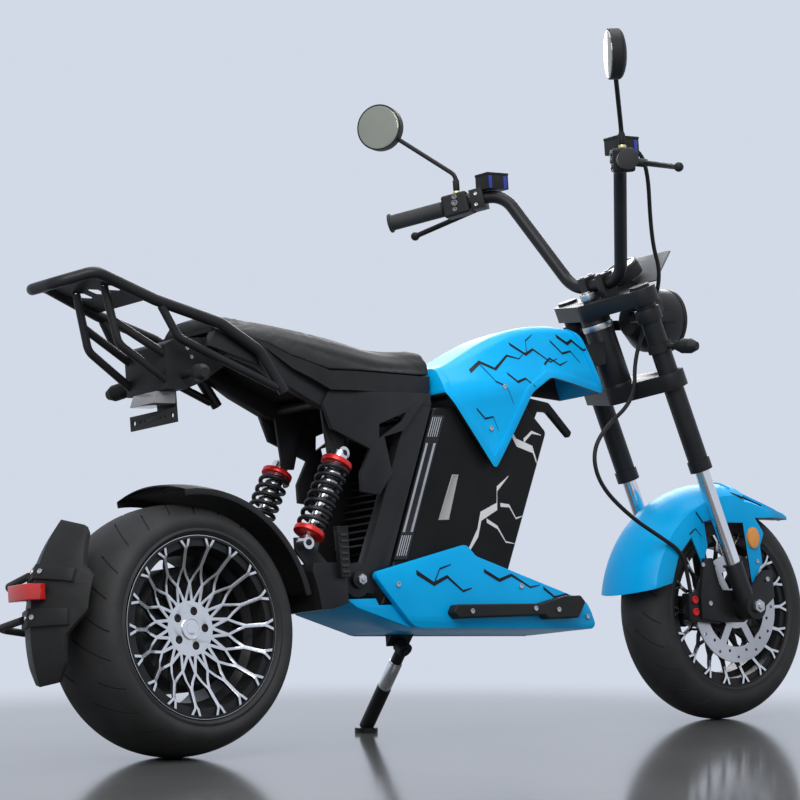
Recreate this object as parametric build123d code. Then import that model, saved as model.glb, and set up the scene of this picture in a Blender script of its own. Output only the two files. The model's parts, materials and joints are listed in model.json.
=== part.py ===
from build123d import *
import math
import os

# Fat-tyred electric scooter, parked on its side stand. Pieces are drawn upright with the origin on
# the ground under the rear axle, +X forward, +Y left, +Z up, and are then leaned to their parked pose.
# A corner's third number, where it has one, is its radius.

# Stance
WHEELBASE = 1468.0
AXLE_HEIGHT = 238.0
LEAN_DEG = 6.5
STEER_DEG = -4.0
PARK_SHIFT = (-682.2, -142.4, 1.4)
CLEAR = 0.3

# Wheels
REAR = dict(radius=238.0, half=104.0, shoulder=90.0, shoulder_r=218.0, bead=84.0)
FRONT = dict(radius=238.8, half=66.0, shoulder=58.0, shoulder_r=214.0, bead=48.0)
BEAD_SEAT_R = 160.0
FLANGE_R = 171.0
FLANGE_T = 8.0
BARREL_R = 150.0
WELL_R = 138.0
SPOKE_FORKS = 18
SPOKE_TIP_T = 5.0
HUB_FACE_R = 52.0
LUGS = 5
LUG_PCD_R = 34.0
LUG_R = 8.0
REAR_DISH = 40.0
FRONT_DISH = 26.0
MOTOR_R = 118.0
MOTOR_LEFT = 62.0
AXLE_R = 12.0

# Steering and fork
RAKE_DEG = 20.0
HEAD_HEIGHT = 821.5
FORK_OFFSET = 43.0
AXLE_LEAD = 5.0
FORK_HALF = 120.0
SHROUD_R = 22.0
STANCHION_R = 16.0
FOOT_R = 20.0
BOSS_HALF = 22.0
STEM_R = 14.0
HEAD_R = 32.0
HEAD_LOW = -86.0
HEAD_TOP = 60.0
UPPER_CLAMP = (66.0, 100.0)
LOWER_CLAMP = (-128.0, -92.0)
SHROUD_END = -318.0
FOOT_LENGTH = 104.4
BAR_R = 14.0
BAR_BEND = 60.0
GRIP_R = 17.5
GRIP_LENGTH = 128.0
POD_LENGTH = 60.0
HEADLIGHT_R = 70.0
DISC_R = 118.0
DISC_BAND = 34.0
DISC_T = 4.0
DISC_ARMS = 6
DISC_HOLES = 24
HOSE_R = 4.5
HOSE_BEND = 32.0

# Body
BATTERY_HALF = 93.0
PANEL_IN = 97.0
PANEL_OUT = 112.0
BEAM_IN = 72.0
BEAM_OUT = 96.0
WALL = 4.0
TUBE_R = 11.0
PIVOT = (381.0, 318.0)
PIVOT_R = 34.0
PIVOT_BOLT_R = 10.0
ARM_IN = 114.0
ARM_OUT = 150.0
MUDGUARD_GAP = 38.0
SHOCK_TOP = (362.0, 566.0)
SHOCK_LOW = (258.0, 392.0)
SHOCK_Y = 95.0
SPRING_R = 31.0
WIRE_R = 4.5
SPRING_TURNS = 7

# Side stand
STAND_PIVOT = (634.0, 80.0, 190.0)
STAND_FOOT = (646.0, 230.0)
STAND_FOLDED = (-1.0, 0.0, 0.0)
STAND_R = 12.0
STAND_FOOT_R = 24.0

RAKE = math.radians(RAKE_DEG)
FORK_UP = Vector(-math.sin(RAKE), 0, math.cos(RAKE))
FORK_AHEAD = Vector(math.cos(RAKE), 0, math.sin(RAKE))
AXLE_AHEAD = FORK_OFFSET + AXLE_LEAD
AXLE_DOWN = (AXLE_HEIGHT - HEAD_HEIGHT - AXLE_AHEAD * math.sin(RAKE)) / math.cos(RAKE)
HEAD_X = WHEELBASE - AXLE_AHEAD * math.cos(RAKE) + AXLE_DOWN * math.sin(RAKE)
HEAD = Vector(HEAD_X, 0, HEAD_HEIGHT)
STANCHION_END = AXLE_DOWN + FOOT_LENGTH


def from_head(*place):
    return tuple(HEAD + Vector(*place))


# Places taken from the bike's side, plan and section views, with the steered ones measured from the head
FRONT_DISC_Y = -74.0
REAR_DISC_Y = 84.0
REAR_DISC_R = 104.0
FENDER_HALF = 90.0
FENDER_GAP = 41.2
FENDER_KNEE = 34.0
FENDER_STEP = 22.0
FENDER_SKIRT_R = 60.0
BLADE_HALF = 64.0
BLADE_DROP = 17.0
GRIP_TIP = from_head(-257.5, 408, 322.5)
BAR_TOP = from_head(-96.5, 200, 364.5)
BAR_LOW = from_head(-8.5, 78, 133.5)
MIRROR = from_head(-281.5, 396, 538.5)
MIRROR_R = 52.0
LEVER_TIP = from_head(-157.5, 447, 304.5)
HEADLIGHT_X, _, HEADLIGHT_Z = from_head(140.5, 0, 58.5)
DIAL = from_head(57.5, 0, 174.5)
DIAL_FOOT = [(21.5, 114.7), (36.5, 120.1), (95.1, 128.5), (95.1, 140.5), (79.5, 144.5), (45.5, 138.5)]
VISOR = [(95.5, 136.5), (99.5, 134.5), (147.5, 202.5), (143.5, 204.5)]
HOSE_TOP = [(-78.1, -222, 386), (-38, -222, 386), (39.5, -130, 212.5), (79.5, -110, 147.5), (95.5, -62, 80.5),
            (31.5, -60, -26.5), (2, -86, -128), (-118, -114, -196), (-160, -122, -252), (-140, -120, -318.5)]
HOSE_LOW = [(-322, -115, 201), (-229, -101, 158), (-168, -97, 126), (-141, -81, 84), (-134.1, -80, 38.3)]
BACKBONE_REAR = (575.0, 690.0)
BACKBONE_H = 50.0
BACKBONE_HALF = 25.0
HEAT_SINK_HALF = 60.0
FIN_T = 5.0
FIN_PITCH = 16
FIN_DEPTH = 38.0
RAIL_IN = 74.0
RAIL_OUT = 96.3
RACK_HALF = RAIL_OUT + TUBE_R + CLEAR
RACK_BEND = 38.0
RACK_PLATE = (-125.0, 0.0, 878.5)
MUDGUARD_HALF = 112.0
SHOCK_PIN_R = 6.0
DAMPER_R = 17.0
STAND_PIN_R = 7.0
STAND_CHEEK = 15.0
RISER_Y = 28.0
RISER_CAP = 8.0

# Body outlines are drawn for the head at DRAWN_HEAD and drawn out from STRETCH_X to where the head is
DRAWN_HEAD = (1204.5, 821.5)
DRAWN_FENDER_R = 280.0
STRETCH_X = 640.0
FENDER_CUT = [(-320, 30), (-193, 59), (-170, 117), (-129, 157), (-101, 96), (-84, 137), (-90, 189), (25, 186),
              (41, 49, 10), (80, 41, 10), (72, 134), (86, 162, 12), (62, 196), (300, 196),
              (300, -300), (-320, -300)]
TANK_SIDE = [(688, 900), (1069.5, 900), (1132, 704, 10), (946, 732, 40), (877, 697, 60), (752, 534, 8),
             (642, 694, 12)]
TANK_BORDER = 16.0
TANK_RELIEF = 2.5
TANK_ROUND = (90.0, 34.0)
TANK = [(630, 60, 104, 744, 688), (760, 58, 112, 790, 702), (890, 52, 106, 838, 716), (976, 46, 92, 851, 730),
        (1075, 40, 70, 846, 744), (1140, 36, 56, 812, 730)]
BATTERY = [(616, 662, 10), (474, 338), (440, 268), (760, 268), (781, 318), (924, 616, 12), (868, 674, 12)]
LATCH = [(872, 670.5), (886, 690), (948, 680, 14), (1008, 618, 5), (999, 605, 5), (942, 660, 14),
         (914, 661), (901, 640.5)]
TRAY = [(352, 281), (376, 264), (507, 221), (1005, 204), (975, 258), (790, 312), (768, 267.7),
        (432, 267.7), (425, 281)]
PANEL = [(409, 330, 10), (659, 383, 16), (683, 359, 24), (980, 261, 30), (1013, 203, 10), (507, 219, 60),
         (449, 284, 50)]
FOOT_PAD = [(593, 246, 6), (603, 262, 8), (830, 258, 30), (900, 272, 20), (945, 272, 8), (958, 258, 6),
            (935, 226, 8), (850, 226), (840, 234), (605, 234, 8)]
SEAT = [(76, 60, 84, 835, 815), (167, 70, 94, 829, 806), (261, 84, 108, 813, 788), (350, 90, 113, 798, 770),
        (435, 84, 108, 784, 756), (517, 68, 92, 776, 750), (600, 52, 74, 779, 752), (641, 40, 62, 782, 756)]
SEAT_ROUND = (24.0, 22.0)
SEAT_NOSE = [(642, 731), (642, 800, 46), (60, 900)]
SEAT_JOIN = [(75, 808), (196, 780), (250, 754), (336, 728), (600, 728), (637, 730)]
SEAT_LOW = [(75, 800), (196, 768), (250, 730), (336, 690), (606, 690), (634, 700)]
SEAT_PLAN = [(640, -62), (560, -82), (400, -112), (290, -112), (200, -98), (75, -84)]
SIDE_PLATE = [(319, 664), (336, 689), (583, 689), (583, 675), (522, 613), (470, 600), (484, 527), (447, 484),
              (403, 490), (403, 527), (432, 575), (338, 614)]
PLATE_HOLE = [(456, 596), (459, 625), (532, 650), (520, 632)]
HUGGER_GAP = [(-96, 20), (-58, 54), (0, 80), (58, 54), (96, 20)]
HUGGER_OUTLINE = [(0, 236, 22), (-40, 214, 30), (-62, 180, 30), (-78, 118), (-96, 95, 12), (-96, 40, 12),
                  (-64, -4, 20), (-58, -56, 30), (-36, -90, 20), (0, -104, 12)]

BASE = (Align.CENTER, Align.CENTER, Align.MIN)
FORK = Plane(origin=HEAD, x_dir=FORK_AHEAD, z_dir=FORK_UP)
REAR_HUB = Pos(0, 0, AXLE_HEIGHT)
FRONT_HUB = Pos(WHEELBASE, 0, AXLE_HEIGHT)
SIDES = (-1, 1)
MUDGUARD_R = REAR["radius"] + MUDGUARD_GAP
FENDER_R = FRONT["radius"] + FENDER_GAP
HUGGER_KEEL = [(y, REAR["radius"] + gap) for y, gap in HUGGER_GAP]


def spun(outline, start=90.0, end=-270.0):
    """Turn a (y, radius) outline about the axle line, from one angle above +X down to another."""
    face = Rot(0, 90 - start, 0) * (Plane.YZ * make_face(outline))
    return revolve(face, Axis.Y, start - end)


def ring(points, start=90.0, end=-270.0):
    return spun(Polyline(*points, close=True).edges(), start, end)


def rounded(points):
    """Face of a closed outline whose corners may carry a radius."""
    places = [point[:2] for point in points]
    radii = [point[2] if len(point) > 2 else 0 for point in points]
    edges = FilletPolyline(*places, radius=radii, close=True) if any(radii) else Polyline(*places, close=True)
    return make_face(edges.edges())


def slab(points, low, high):
    """Plate of an (x, z) outline between two y planes."""
    plane = Plane((0, high, 0), x_dir=(1, 0, 0), z_dir=(0, -1, 0))
    return extrude(plane * rounded(points), high - low)


def board(points, low, high):
    """Plate of an (x, y) outline between two heights."""
    return extrude(Plane((0, 0, low)) * rounded(points), high - low)


def section_plane(x):
    return Plane((x, 0, 0), x_dir=(0, 1, 0), z_dir=(1, 0, 0))


def beam(points, low, high):
    """Bar of a (y, z) outline between two x planes."""
    return extrude(section_plane(low) * rounded(points), high - low)


def lofted(stations, floor, corners, grow=0.0):
    """Smooth hull through (x, crown half-width, half-width, crown height, shoulder height) stations."""
    sections = []
    for x, crown, wide, top, shoulder in stations:
        wide, crown, top = wide + grow, crown + grow, top + grow
        half = [(wide, floor), (wide, shoulder, corners[0]), (crown, top, corners[1])]
        sections.append(section_plane(x) * rounded(half + [(-y, z, *r) for y, z, *r in reversed(half)]))
    return loft(sections)


def eased(shape, plane_y, radius):
    """Round the edges that lie on a side plane, on either side."""
    edges = [edge for edge in shape.edges() if abs(abs(edge.center().Y) - plane_y) < CLEAR]
    return fillet(edges, radius)


def share(x):
    return min(max((x - STRETCH_X) / (DRAWN_HEAD[0] - STRETCH_X), 0), 1)


def along(x):
    """Drawn x, moved with the head by its share of the way to it."""
    return x + share(x) * (HEAD_X - DRAWN_HEAD[0])


def fitted(points):
    """Side outline moved with the head."""
    return [(along(x), z + share(x) * (HEAD_HEIGHT - DRAWN_HEAD[1]), *r) for x, z, *r in points]


def at_head(points):
    """Side outline measured from the head."""
    return [(HEAD_X + x, HEAD_HEIGHT + z) for x, z in points]


def mirrored(points):
    """Close a half outline drawn on the right by its left twin."""
    return list(points) + [(x, -y, *r) for x, y, *r in reversed(points)]


def rod(start, end, radius):
    start, end = Vector(start), Vector(end)
    run = end - start
    return Plane(origin=start, z_dir=run).location * Cylinder(radius, run.length, align=BASE)


def pin(x, z, low, high, radius):
    """Cylinder across the bike between two y planes."""
    return rod((x, low, z), (x, high, z), radius)


def tube(points, bends, radius):
    path = FilletPolyline(*points, radius=bends)
    section = Plane(origin=path @ 0, z_dir=path % 0) * Circle(radius)
    return sweep(section, path=path)


def post(radius, low, high, ahead=0.0, side=0.0):
    """Cylinder along the steering axis, in the fork's own frame."""
    return Pos(ahead, side, low) * Cylinder(radius, high - low, align=BASE)


def fork_point(ahead, side, up):
    return HEAD + FORK_AHEAD * ahead + FORK_UP * up + Vector(0, side, 0)


def tyre(size):
    half, bead = size["half"], size["bead"]
    lip = bead + FLANGE_T + 1
    lip_r = FLANGE_R + 2
    wall_r = (lip_r + size["shoulder_r"]) / 2
    edges = [
        Line((-bead, BEAD_SEAT_R), (-bead, lip_r)),
        Line((-bead, lip_r), (-lip, lip_r)),
        ThreePointArc((-lip, lip_r), (-half, wall_r), (-size["shoulder"], size["shoulder_r"])),
        ThreePointArc((-size["shoulder"], size["shoulder_r"]), (0, size["radius"]),
                      (size["shoulder"], size["shoulder_r"])),
        ThreePointArc((size["shoulder"], size["shoulder_r"]), (half, wall_r), (lip, lip_r)),
        Line((lip, lip_r), (bead, lip_r)),
        Line((bead, lip_r), (bead, BEAD_SEAT_R)),
        Line((bead, BEAD_SEAT_R), (-bead, BEAD_SEAT_R)),
    ]
    return spun(edges)


def rim_barrel(size):
    seat = size["bead"] + CLEAR
    face = size["bead"] + FLANGE_T
    well = size["bead"] * 0.45
    half = [(-seat, BEAD_SEAT_R - CLEAR), (-seat, FLANGE_R), (-face, FLANGE_R), (-face, BARREL_R + 2),
            (-well - 14, BARREL_R), (-well, WELL_R)]
    return ring(half + [(-y, r) for y, r in reversed(half)])


def polar(radius, angle_deg):
    angle = math.radians(angle_deg)
    return Vector(radius * math.cos(angle), radius * math.sin(angle))


def bar_face(start, end, width):
    along = (end - start).normalized() * (width / 3)
    side = Vector(-along.Y, along.X).normalized() * (width / 2)
    start, end = start - along, end + along
    return make_face(Polyline(start + side, end + side, end - side, start - side, close=True).edges())


def spokes(size, dish, hub_back):
    """Mesh of crossing arms on a dished shell, with the hub face and the bright rim line."""
    step = 360 / SPOKE_FORKS
    inner_r, cross_r, join_r, fork_r, tip_r = HUB_FACE_R - 4, 84.0, 118.0, 146.0, FLANGE_R - 4
    # Columns: start radius, start share of a step, end radius, end share, width
    arms = [
        (inner_r, 0.0, cross_r, 0.5, 6.0), (inner_r, 0.0, cross_r, -0.5, 6.0),
        (join_r, 0.0, cross_r, 0.5, 5.0), (join_r, 0.0, cross_r, -0.5, 5.0),
        (join_r, 0.0, fork_r, 0.0, 7.0),
        (fork_r, 0.0, tip_r, 0.16, 5.0), (fork_r, 0.0, tip_r, -0.16, 5.0),
    ]
    faces = [
        bar_face(polar(r1, (k + a1) * step), polar(r2, (k + a2) * step), width)
        for k in range(SPOKE_FORKS) for r1, a1, r2, a2, width in arms
    ]
    pattern = Sketch() + faces + [Circle(HUB_FACE_R)]
    pattern -= [Pos(*polar(LUG_PCD_R, k * 360 / LUGS)) * Circle(LUG_R) for k in range(LUGS)]
    face_y = -(size["bead"] + FLANGE_T)
    tip_y = face_y - SPOKE_TIP_T
    hub_y = tip_y + dish
    shell = ring([
        (hub_y, 0), (hub_y, HUB_FACE_R), (tip_y + dish * 0.75, 100), (tip_y + dish * 0.2, 140),
        (tip_y, BARREL_R + 3), (tip_y, FLANGE_R), (face_y, FLANGE_R), (face_y, BARREL_R),
        (tip_y + dish * 0.35 + 4, 136), (tip_y + dish * 0.75 + 10, 98), (hub_back, HUB_FACE_R), (hub_back, 0),
    ])
    depth = hub_back - tip_y + 20
    prism = extrude(Plane((0, tip_y - 10, 0), x_dir=(1, 0, 0), z_dir=(0, 1, 0)) * pattern, depth)
    rim_line = ring([(tip_y, FLANGE_R - 5), (tip_y, FLANGE_R), (face_y, FLANGE_R), (face_y, FLANGE_R - 5)])
    return (prism & shell) + rim_line


def disc(plane_y, outer, inner, thickness=DISC_T):
    back = plane_y + thickness
    return ring([(plane_y, inner), (plane_y, outer), (back, outer), (back, inner)])


def vented_disc():
    """Front disc: a drilled band on the arms of a carrier."""
    inner, bore = DISC_R - DISC_BAND, AXLE_R + 2 + CLEAR
    arm_end = inner + 4
    plan = Circle(DISC_R) - Circle(inner) + [Circle(44)]
    arm = Pos(arm_end / 2, 0) * Rectangle(arm_end, 18)
    plan += [Rot(0, 0, k * 360 / DISC_ARMS) * arm for k in range(DISC_ARMS)]
    plan -= Circle(bore)
    for k in range(DISC_HOLES):
        plan -= Pos(*polar(inner + (11 if k % 2 else 23), k * 360 / DISC_HOLES)) * Circle(3.5)
    return extrude(Plane((0, FRONT_DISC_Y, 0), x_dir=(1, 0, 0), z_dir=(0, 1, 0)) * plan, DISC_T)


def rear_wheel():
    hub_back = -(REAR["bead"] + FLANGE_T + SPOKE_TIP_T) + REAR_DISH + 10
    motor = ring([(hub_back, 0), (hub_back, MOTOR_R - 12), (hub_back + 10, MOTOR_R),
                  (MOTOR_LEFT - 10, MOTOR_R), (MOTOR_LEFT, MOTOR_R - 12),
                  (MOTOR_LEFT, AXLE_R + CLEAR), (20, AXLE_R + CLEAR), (20, 0)])
    hat = disc(MOTOR_LEFT, 46, 30, REAR_DISC_Y - MOTOR_LEFT + 1)
    return {
        "rear_tyre": tyre(REAR),
        "rear_rim_barrel": rim_barrel(REAR),
        "rear_wheel_spokes": spokes(REAR, REAR_DISH, hub_back),
        "rear_hub_motor": motor,
        "rear_brake_disc": hat + disc(REAR_DISC_Y, REAR_DISC_R, 30),
    }


def front_wheel():
    hub_back = -(FRONT["bead"] + FLANGE_T + SPOKE_TIP_T) + FRONT_DISH + 10
    mesh = spokes(FRONT, FRONT_DISH, hub_back)
    bore = AXLE_R - 4 + CLEAR
    end = -FRONT_DISC_Y - DISC_T
    hub = ring([(-end, bore), (-end, 34), (-40, 34), (-34, 42), (34, 42), (40, 34), (end, 34), (end, bore)])
    return {
        "front_tyre": tyre(FRONT),
        "front_rim_barrel": rim_barrel(FRONT),
        "front_wheel_spokes": mesh - ring([(-90, 0), (-90, 42), (30, 42), (30, 0)]) + hub,
        "front_brake_disc": vented_disc(),
    }


def front_fork():
    pieces = {}
    shrouds, stanchions, feet = [], [], []
    for side in SIDES:
        y = side * FORK_HALF
        shrouds.append(post(SHROUD_R, SHROUD_END, UPPER_CLAMP[1] + 6, FORK_OFFSET, y)
                       + post(SHROUD_R + 3, SHROUD_END, SHROUD_END + 26, FORK_OFFSET, y))
        stanchions.append(post(STANCHION_R, STANCHION_END, SHROUD_END, FORK_OFFSET, y))
        foot = post(FOOT_R, AXLE_DOWN, STANCHION_END, FORK_OFFSET, y)
        across = Pos(AXLE_AHEAD, y, AXLE_DOWN) * Rot(90, 0, 0)
        feet.append(foot + across * Cylinder(28, 2 * BOSS_HALF) - across * Cylinder(AXLE_R - 4 + CLEAR, 80))
    ears = [Pos(FORK_OFFSET, side * FORK_HALF) * Circle(SHROUD_R + 11) for side in SIDES]
    outline = make_hull((Sketch() + ears + [Circle(STEM_R + 20)]).edges())
    shroud_holes = [post(SHROUD_R + CLEAR, -400, 400, FORK_OFFSET, s * FORK_HALF) for s in SIDES]
    upper = Pos(0, 0, UPPER_CLAMP[0]) * extrude(outline, UPPER_CLAMP[1] - UPPER_CLAMP[0])
    lower = Pos(0, 0, LOWER_CLAMP[0]) * extrude(outline, LOWER_CLAMP[1] - LOWER_CLAMP[0])
    stem_hole = post(STEM_R + CLEAR, -400, 400)
    collar = post(HEAD_R, HEAD_TOP + CLEAR, UPPER_CLAMP[0] - CLEAR)
    cup = post(HEAD_R, LOWER_CLAMP[1], HEAD_LOW - CLEAR)
    bar_ahead = (Vector(*BAR_LOW) - HEAD).dot(FORK_AHEAD)
    bar_up = (Vector(*BAR_LOW) - HEAD).dot(FORK_UP)
    riser_top = bar_up + BAR_R + RISER_CAP
    riser = Box(36, 22, riser_top - UPPER_CLAMP[0], align=BASE)
    risers = [Pos(bar_ahead, side * RISER_Y, UPPER_CLAMP[0]) * riser for side in SIDES]
    bar_hole = Pos(bar_ahead, 0, bar_up) * Rot(90, 0, 0) * Cylinder(BAR_R + CLEAR, 200)
    pieces["upper_clamp"] = upper + risers - shroud_holes - stem_hole - bar_hole
    stem = post(STEM_R, LOWER_CLAMP[0], UPPER_CLAMP[1] + 4)
    pieces["steering_stem"] = lower - shroud_holes + stem + collar + cup
    pieces["fork_shrouds"] = Part() + shrouds
    pieces["fork_stanchions"] = Part() + stanchions
    pieces["fork_feet"] = Part() + feet
    axle = Rot(90, 0, 0) * Cylinder(AXLE_R - 4, 2 * (FORK_HALF + BOSS_HALF + 4))
    pieces["front_axle"] = Pos(AXLE_AHEAD, 0, AXLE_DOWN) * axle
    return {name: FORK.location * shape for name, shape in pieces.items()}


def arch_section(half, skirt_r, knee_r, crown_r, wall):
    """Fender section: straight skirts and a round crown, as (y, radius) edges."""
    inner = half - wall
    return [
        Line((-half, skirt_r), (-half, knee_r)),
        ThreePointArc((-half, knee_r), (0, crown_r), (half, knee_r)),
        Line((half, knee_r), (half, skirt_r)),
        Line((half, skirt_r), (inner, skirt_r)),
        Line((inner, skirt_r), (inner, knee_r)),
        ThreePointArc((inner, knee_r), (0, crown_r - wall), (-inner, knee_r)),
        Line((-inner, knee_r), (-inner, skirt_r)),
        Line((-inner, skirt_r), (-half, skirt_r)),
    ]


def front_fender():
    """Fender with its tabs, the blade over its nose, the plates that carry it and the caliper."""
    rise = FENDER_R - DRAWN_FENDER_R
    knee = FENDER_R - FENDER_KNEE
    shell = spun(arch_section(FENDER_HALF, FENDER_SKIRT_R, knee, FENDER_R, WALL), 172, 82)
    nose_r = FENDER_R - FENDER_STEP
    shell += spun(arch_section(FENDER_HALF, FENDER_SKIRT_R, knee - FENDER_STEP / 2, nose_r, WALL), 100, 52)
    shell -= slab(FENDER_CUT, -200, 200)
    ridge = Plane(origin=(18, 0, 282.5 + rise), x_dir=(0, 1, 0), z_dir=(184, 0, -69))
    low, thin = -BLADE_DROP, WALL + 1
    blade = [
        ThreePointArc((-BLADE_HALF, low), (0, 0), (BLADE_HALF, low)),
        Line((BLADE_HALF, low), (BLADE_HALF, low - thin)),
        ThreePointArc((BLADE_HALF, low - thin), (0, -thin), (-BLADE_HALF, low - thin)),
        Line((-BLADE_HALF, low - thin), (-BLADE_HALF, low)),
    ]
    lip = [(118, 212), (122, 228), (215, 209), (231, 202), (224, 197), (150, 203)]
    nose = extrude(ridge * make_face(blade), 232)
    nose += slab([(x, z + rise) for x, z in lip], -BLADE_HALF, BLADE_HALF)
    nose &= board(mirrored([(-20, -64), (60, -62, 80), (150, -46, 80), (236, -14, 12)]), 100, 400)
    brackets = []
    for side in SIDES:
        low, high = sorted((side * (FENDER_HALF + CLEAR), side * (FORK_HALF - BOSS_HALF)))
        plate = slab([(-120, -20), (-120, 30), (-104, 110), (-80, 110), (-60, 40), (20, 36), (70, 80),
                      (96, 80), (98, 20), (60, -6), (0, -32), (-60, -30)], low, high)
        brackets.append(plate - pin(0, 0, -200, 200, AXLE_R - 4 + CLEAR))
    caliper = slab([(-148, -22), (-148, 36), (-62, 48), (-62, -34)], -FENDER_HALF, FRONT_DISC_Y + 17)
    caliper -= disc(FRONT_DISC_Y - 5, DISC_R + 6, 0, DISC_T + 10)
    caliper -= disc(FRONT_DISC_Y + 8, 200, DISC_R + 10, 20)
    pieces = {
        "front_fender": shell + nose,
        "fender_brackets": Part() + brackets,
        "front_caliper": caliper,
    }
    return {name: FRONT_HUB * shape for name, shape in pieces.items()}


def handlebar_point(side, back):
    """Point on the straight bar end, a distance in from the grip's tip."""
    tip, bend = Vector(*GRIP_TIP), Vector(*BAR_TOP)
    point = tip + (bend - tip).normalized() * back
    return Vector(point.X, side * point.Y, point.Z)


def bars():
    half = [tuple(handlebar_point(1, 5)), BAR_TOP, BAR_LOW]
    route = half + [(x, -y, z) for x, y, z in reversed(half)]
    grips, pods, levers, mirrors = [], [], [], []
    for side in SIDES:
        bore = rod(handlebar_point(side, 5 - CLEAR), handlebar_point(side, 240), BAR_R + CLEAR)
        tip = handlebar_point(side, 0)
        outward = tip - handlebar_point(side, GRIP_LENGTH)
        grips.append(rod(tip, tip - outward, GRIP_R) + rod(tip, handlebar_point(side, 6), GRIP_R + 4) - bore)
        pod_mid = handlebar_point(side, GRIP_LENGTH + 3 + POD_LENGTH / 2)
        pod_frame = Plane(origin=pod_mid, z_dir=outward, x_dir=(0, 0, 1))
        pod = pod_frame.location * fillet(Box(50, 46, POD_LENGTH).edges(), 6) - bore
        pods.append(pod)
        perch = handlebar_point(side, GRIP_LENGTH + POD_LENGTH + 24)
        clamp = Plane(origin=perch, z_dir=outward, x_dir=(0, 0, 1)).location * Box(44, 44, 30)
        root = perch + Vector(38, side * 30, -8)
        reservoir = Pos(*(perch + Vector(22, -side * 22, 34))) * Box(58, 44, 32)
        ball = Vector(LEVER_TIP[0], side * LEVER_TIP[1], LEVER_TIP[2])
        blade = rod(root, ball, 6) + Pos(*ball) * Sphere(10)
        levers.append(clamp + reservoir + rod(perch, root, 9) + Pos(*root) * Sphere(9) + blade - bore - pod)
        centre = Vector(MIRROR[0], side * MIRROR[1], MIRROR[2])
        normal = Vector(-0.85, -side * 0.52, 0).normalized()
        head = Plane(origin=centre - normal * 20, z_dir=normal).location * Cylinder(MIRROR_R, 20, align=BASE)
        base = pod_mid + Vector(0, 0, 18)
        mirrors.append(head + tube([base, base + Vector(0, 0, 50), centre - normal * 10], 25, 5) - pod)
    groups = dict(grips=grips, switch_pods=pods, brake_levers=levers, mirrors=mirrors)
    pieces = {name: Part() + solids for name, solids in groups.items()}
    pieces["handlebar"] = tube(route, BAR_BEND, BAR_R)
    return pieces


def lamp_pod(origin, direction):
    """Turn signal body tapering to its tip along a direction."""
    outline = Polyline((0, 0), (8, 0), (16, 18), (16, 40), (9, 55), (0, 55), close=True)
    body = revolve(Plane.XZ * make_face(outline.edges()), Axis.Z)
    return Plane(origin=origin, z_dir=direction).location * body


def lamps():
    back, rim = HEADLIGHT_X - 66, HEADLIGHT_X + 36
    outline = [(back, 0), (back, 34), (HEADLIGHT_X - 18, HEADLIGHT_R), (rim, HEADLIGHT_R), (rim, 0)]
    bucket = revolve(Plane.XZ * rounded(outline), Axis.X)
    lens = Pos(rim, 0, 0) * Rot(0, 90, 0) * Cylinder(HEADLIGHT_R - 5, 8, align=BASE)
    lift = Pos(0, 0, HEADLIGHT_Z)
    arms, signals = [], []
    for side in SIDES:
        y = side * FORK_HALF
        hole = FORK.location * post(SHROUD_R + CLEAR, -200, 200, FORK_OFFSET, y)
        band = FORK.location * post(SHROUD_R + 6, 26, 54, FORK_OFFSET, y)
        at = fork_point(FORK_OFFSET, 0, 40)
        low, high = sorted((side * (HEADLIGHT_R + CLEAR), side * (FORK_HALF - 20)))
        corners = ((-12, -11), (12, -11), (12, 11), (-12, 11))
        knuckle = slab([(at.X + x, at.Z + z) for x, z in corners], low, high)
        low, high = sorted((side * (HEADLIGHT_R + CLEAR), side * (HEADLIGHT_R + 6)))
        arm = slab([(at.X - 12, at.Z - 11), (HEADLIGHT_X + 10, HEADLIGHT_Z - 11, 8),
                    (HEADLIGHT_X + 10, HEADLIGHT_Z + 11, 8), (at.X - 12, at.Z + 11)], low, high)
        arms.append(band + knuckle + arm - hole)
        collar = FORK.location * post(SHROUD_R + 5, -44, -26, FORK_OFFSET, y)
        start = fork_point(FORK_OFFSET, y + side * (SHROUD_R + 2), -35)
        aim = Vector(0.28, side * 0.95, -0.12)
        signals.append(collar - hole + rod(start, start + aim * 22, 6) + lamp_pod(start + aim * 20, aim))
    pod_plane = Plane(origin=DIAL, z_dir=(-0.55, 0, 0.835))
    dial = pod_plane.location * (Pos(0, 0, -30) * Cylinder(42, 30, align=BASE))
    foot = slab(at_head(DIAL_FOOT), -14, 14)
    visor = slab(at_head(VISOR), -72, 72)
    return {
        "headlight_bucket": lift * bucket,
        "headlight_lens": lift * lens,
        "headlight_bracket": Part() + arms,
        "front_indicators": Part() + signals,
        "instrument_pod": dial + foot,
        "visor": visor,
    }


def brake_hose():
    """Hose from the right lever's cylinder round the head and down to the front caliper."""
    lower = [(WHEELBASE + x, y, AXLE_HEIGHT + z) for x, y, z in HOSE_LOW]
    return {"brake_hose": tube([from_head(*place) for place in HOSE_TOP] + lower, HOSE_BEND, HOSE_R)}


def backbone_outline(grow=0.0):
    x0, z0 = BACKBONE_REAR
    x1, z1 = HEAD_X - 24, HEAD_HEIGHT - 20
    h = BACKBONE_H / 2 + grow
    return [(x0 - grow, z0 - h), (x0 - grow, z0 + h), (x1, z1 + h), (x1, z1 - h)]


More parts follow.
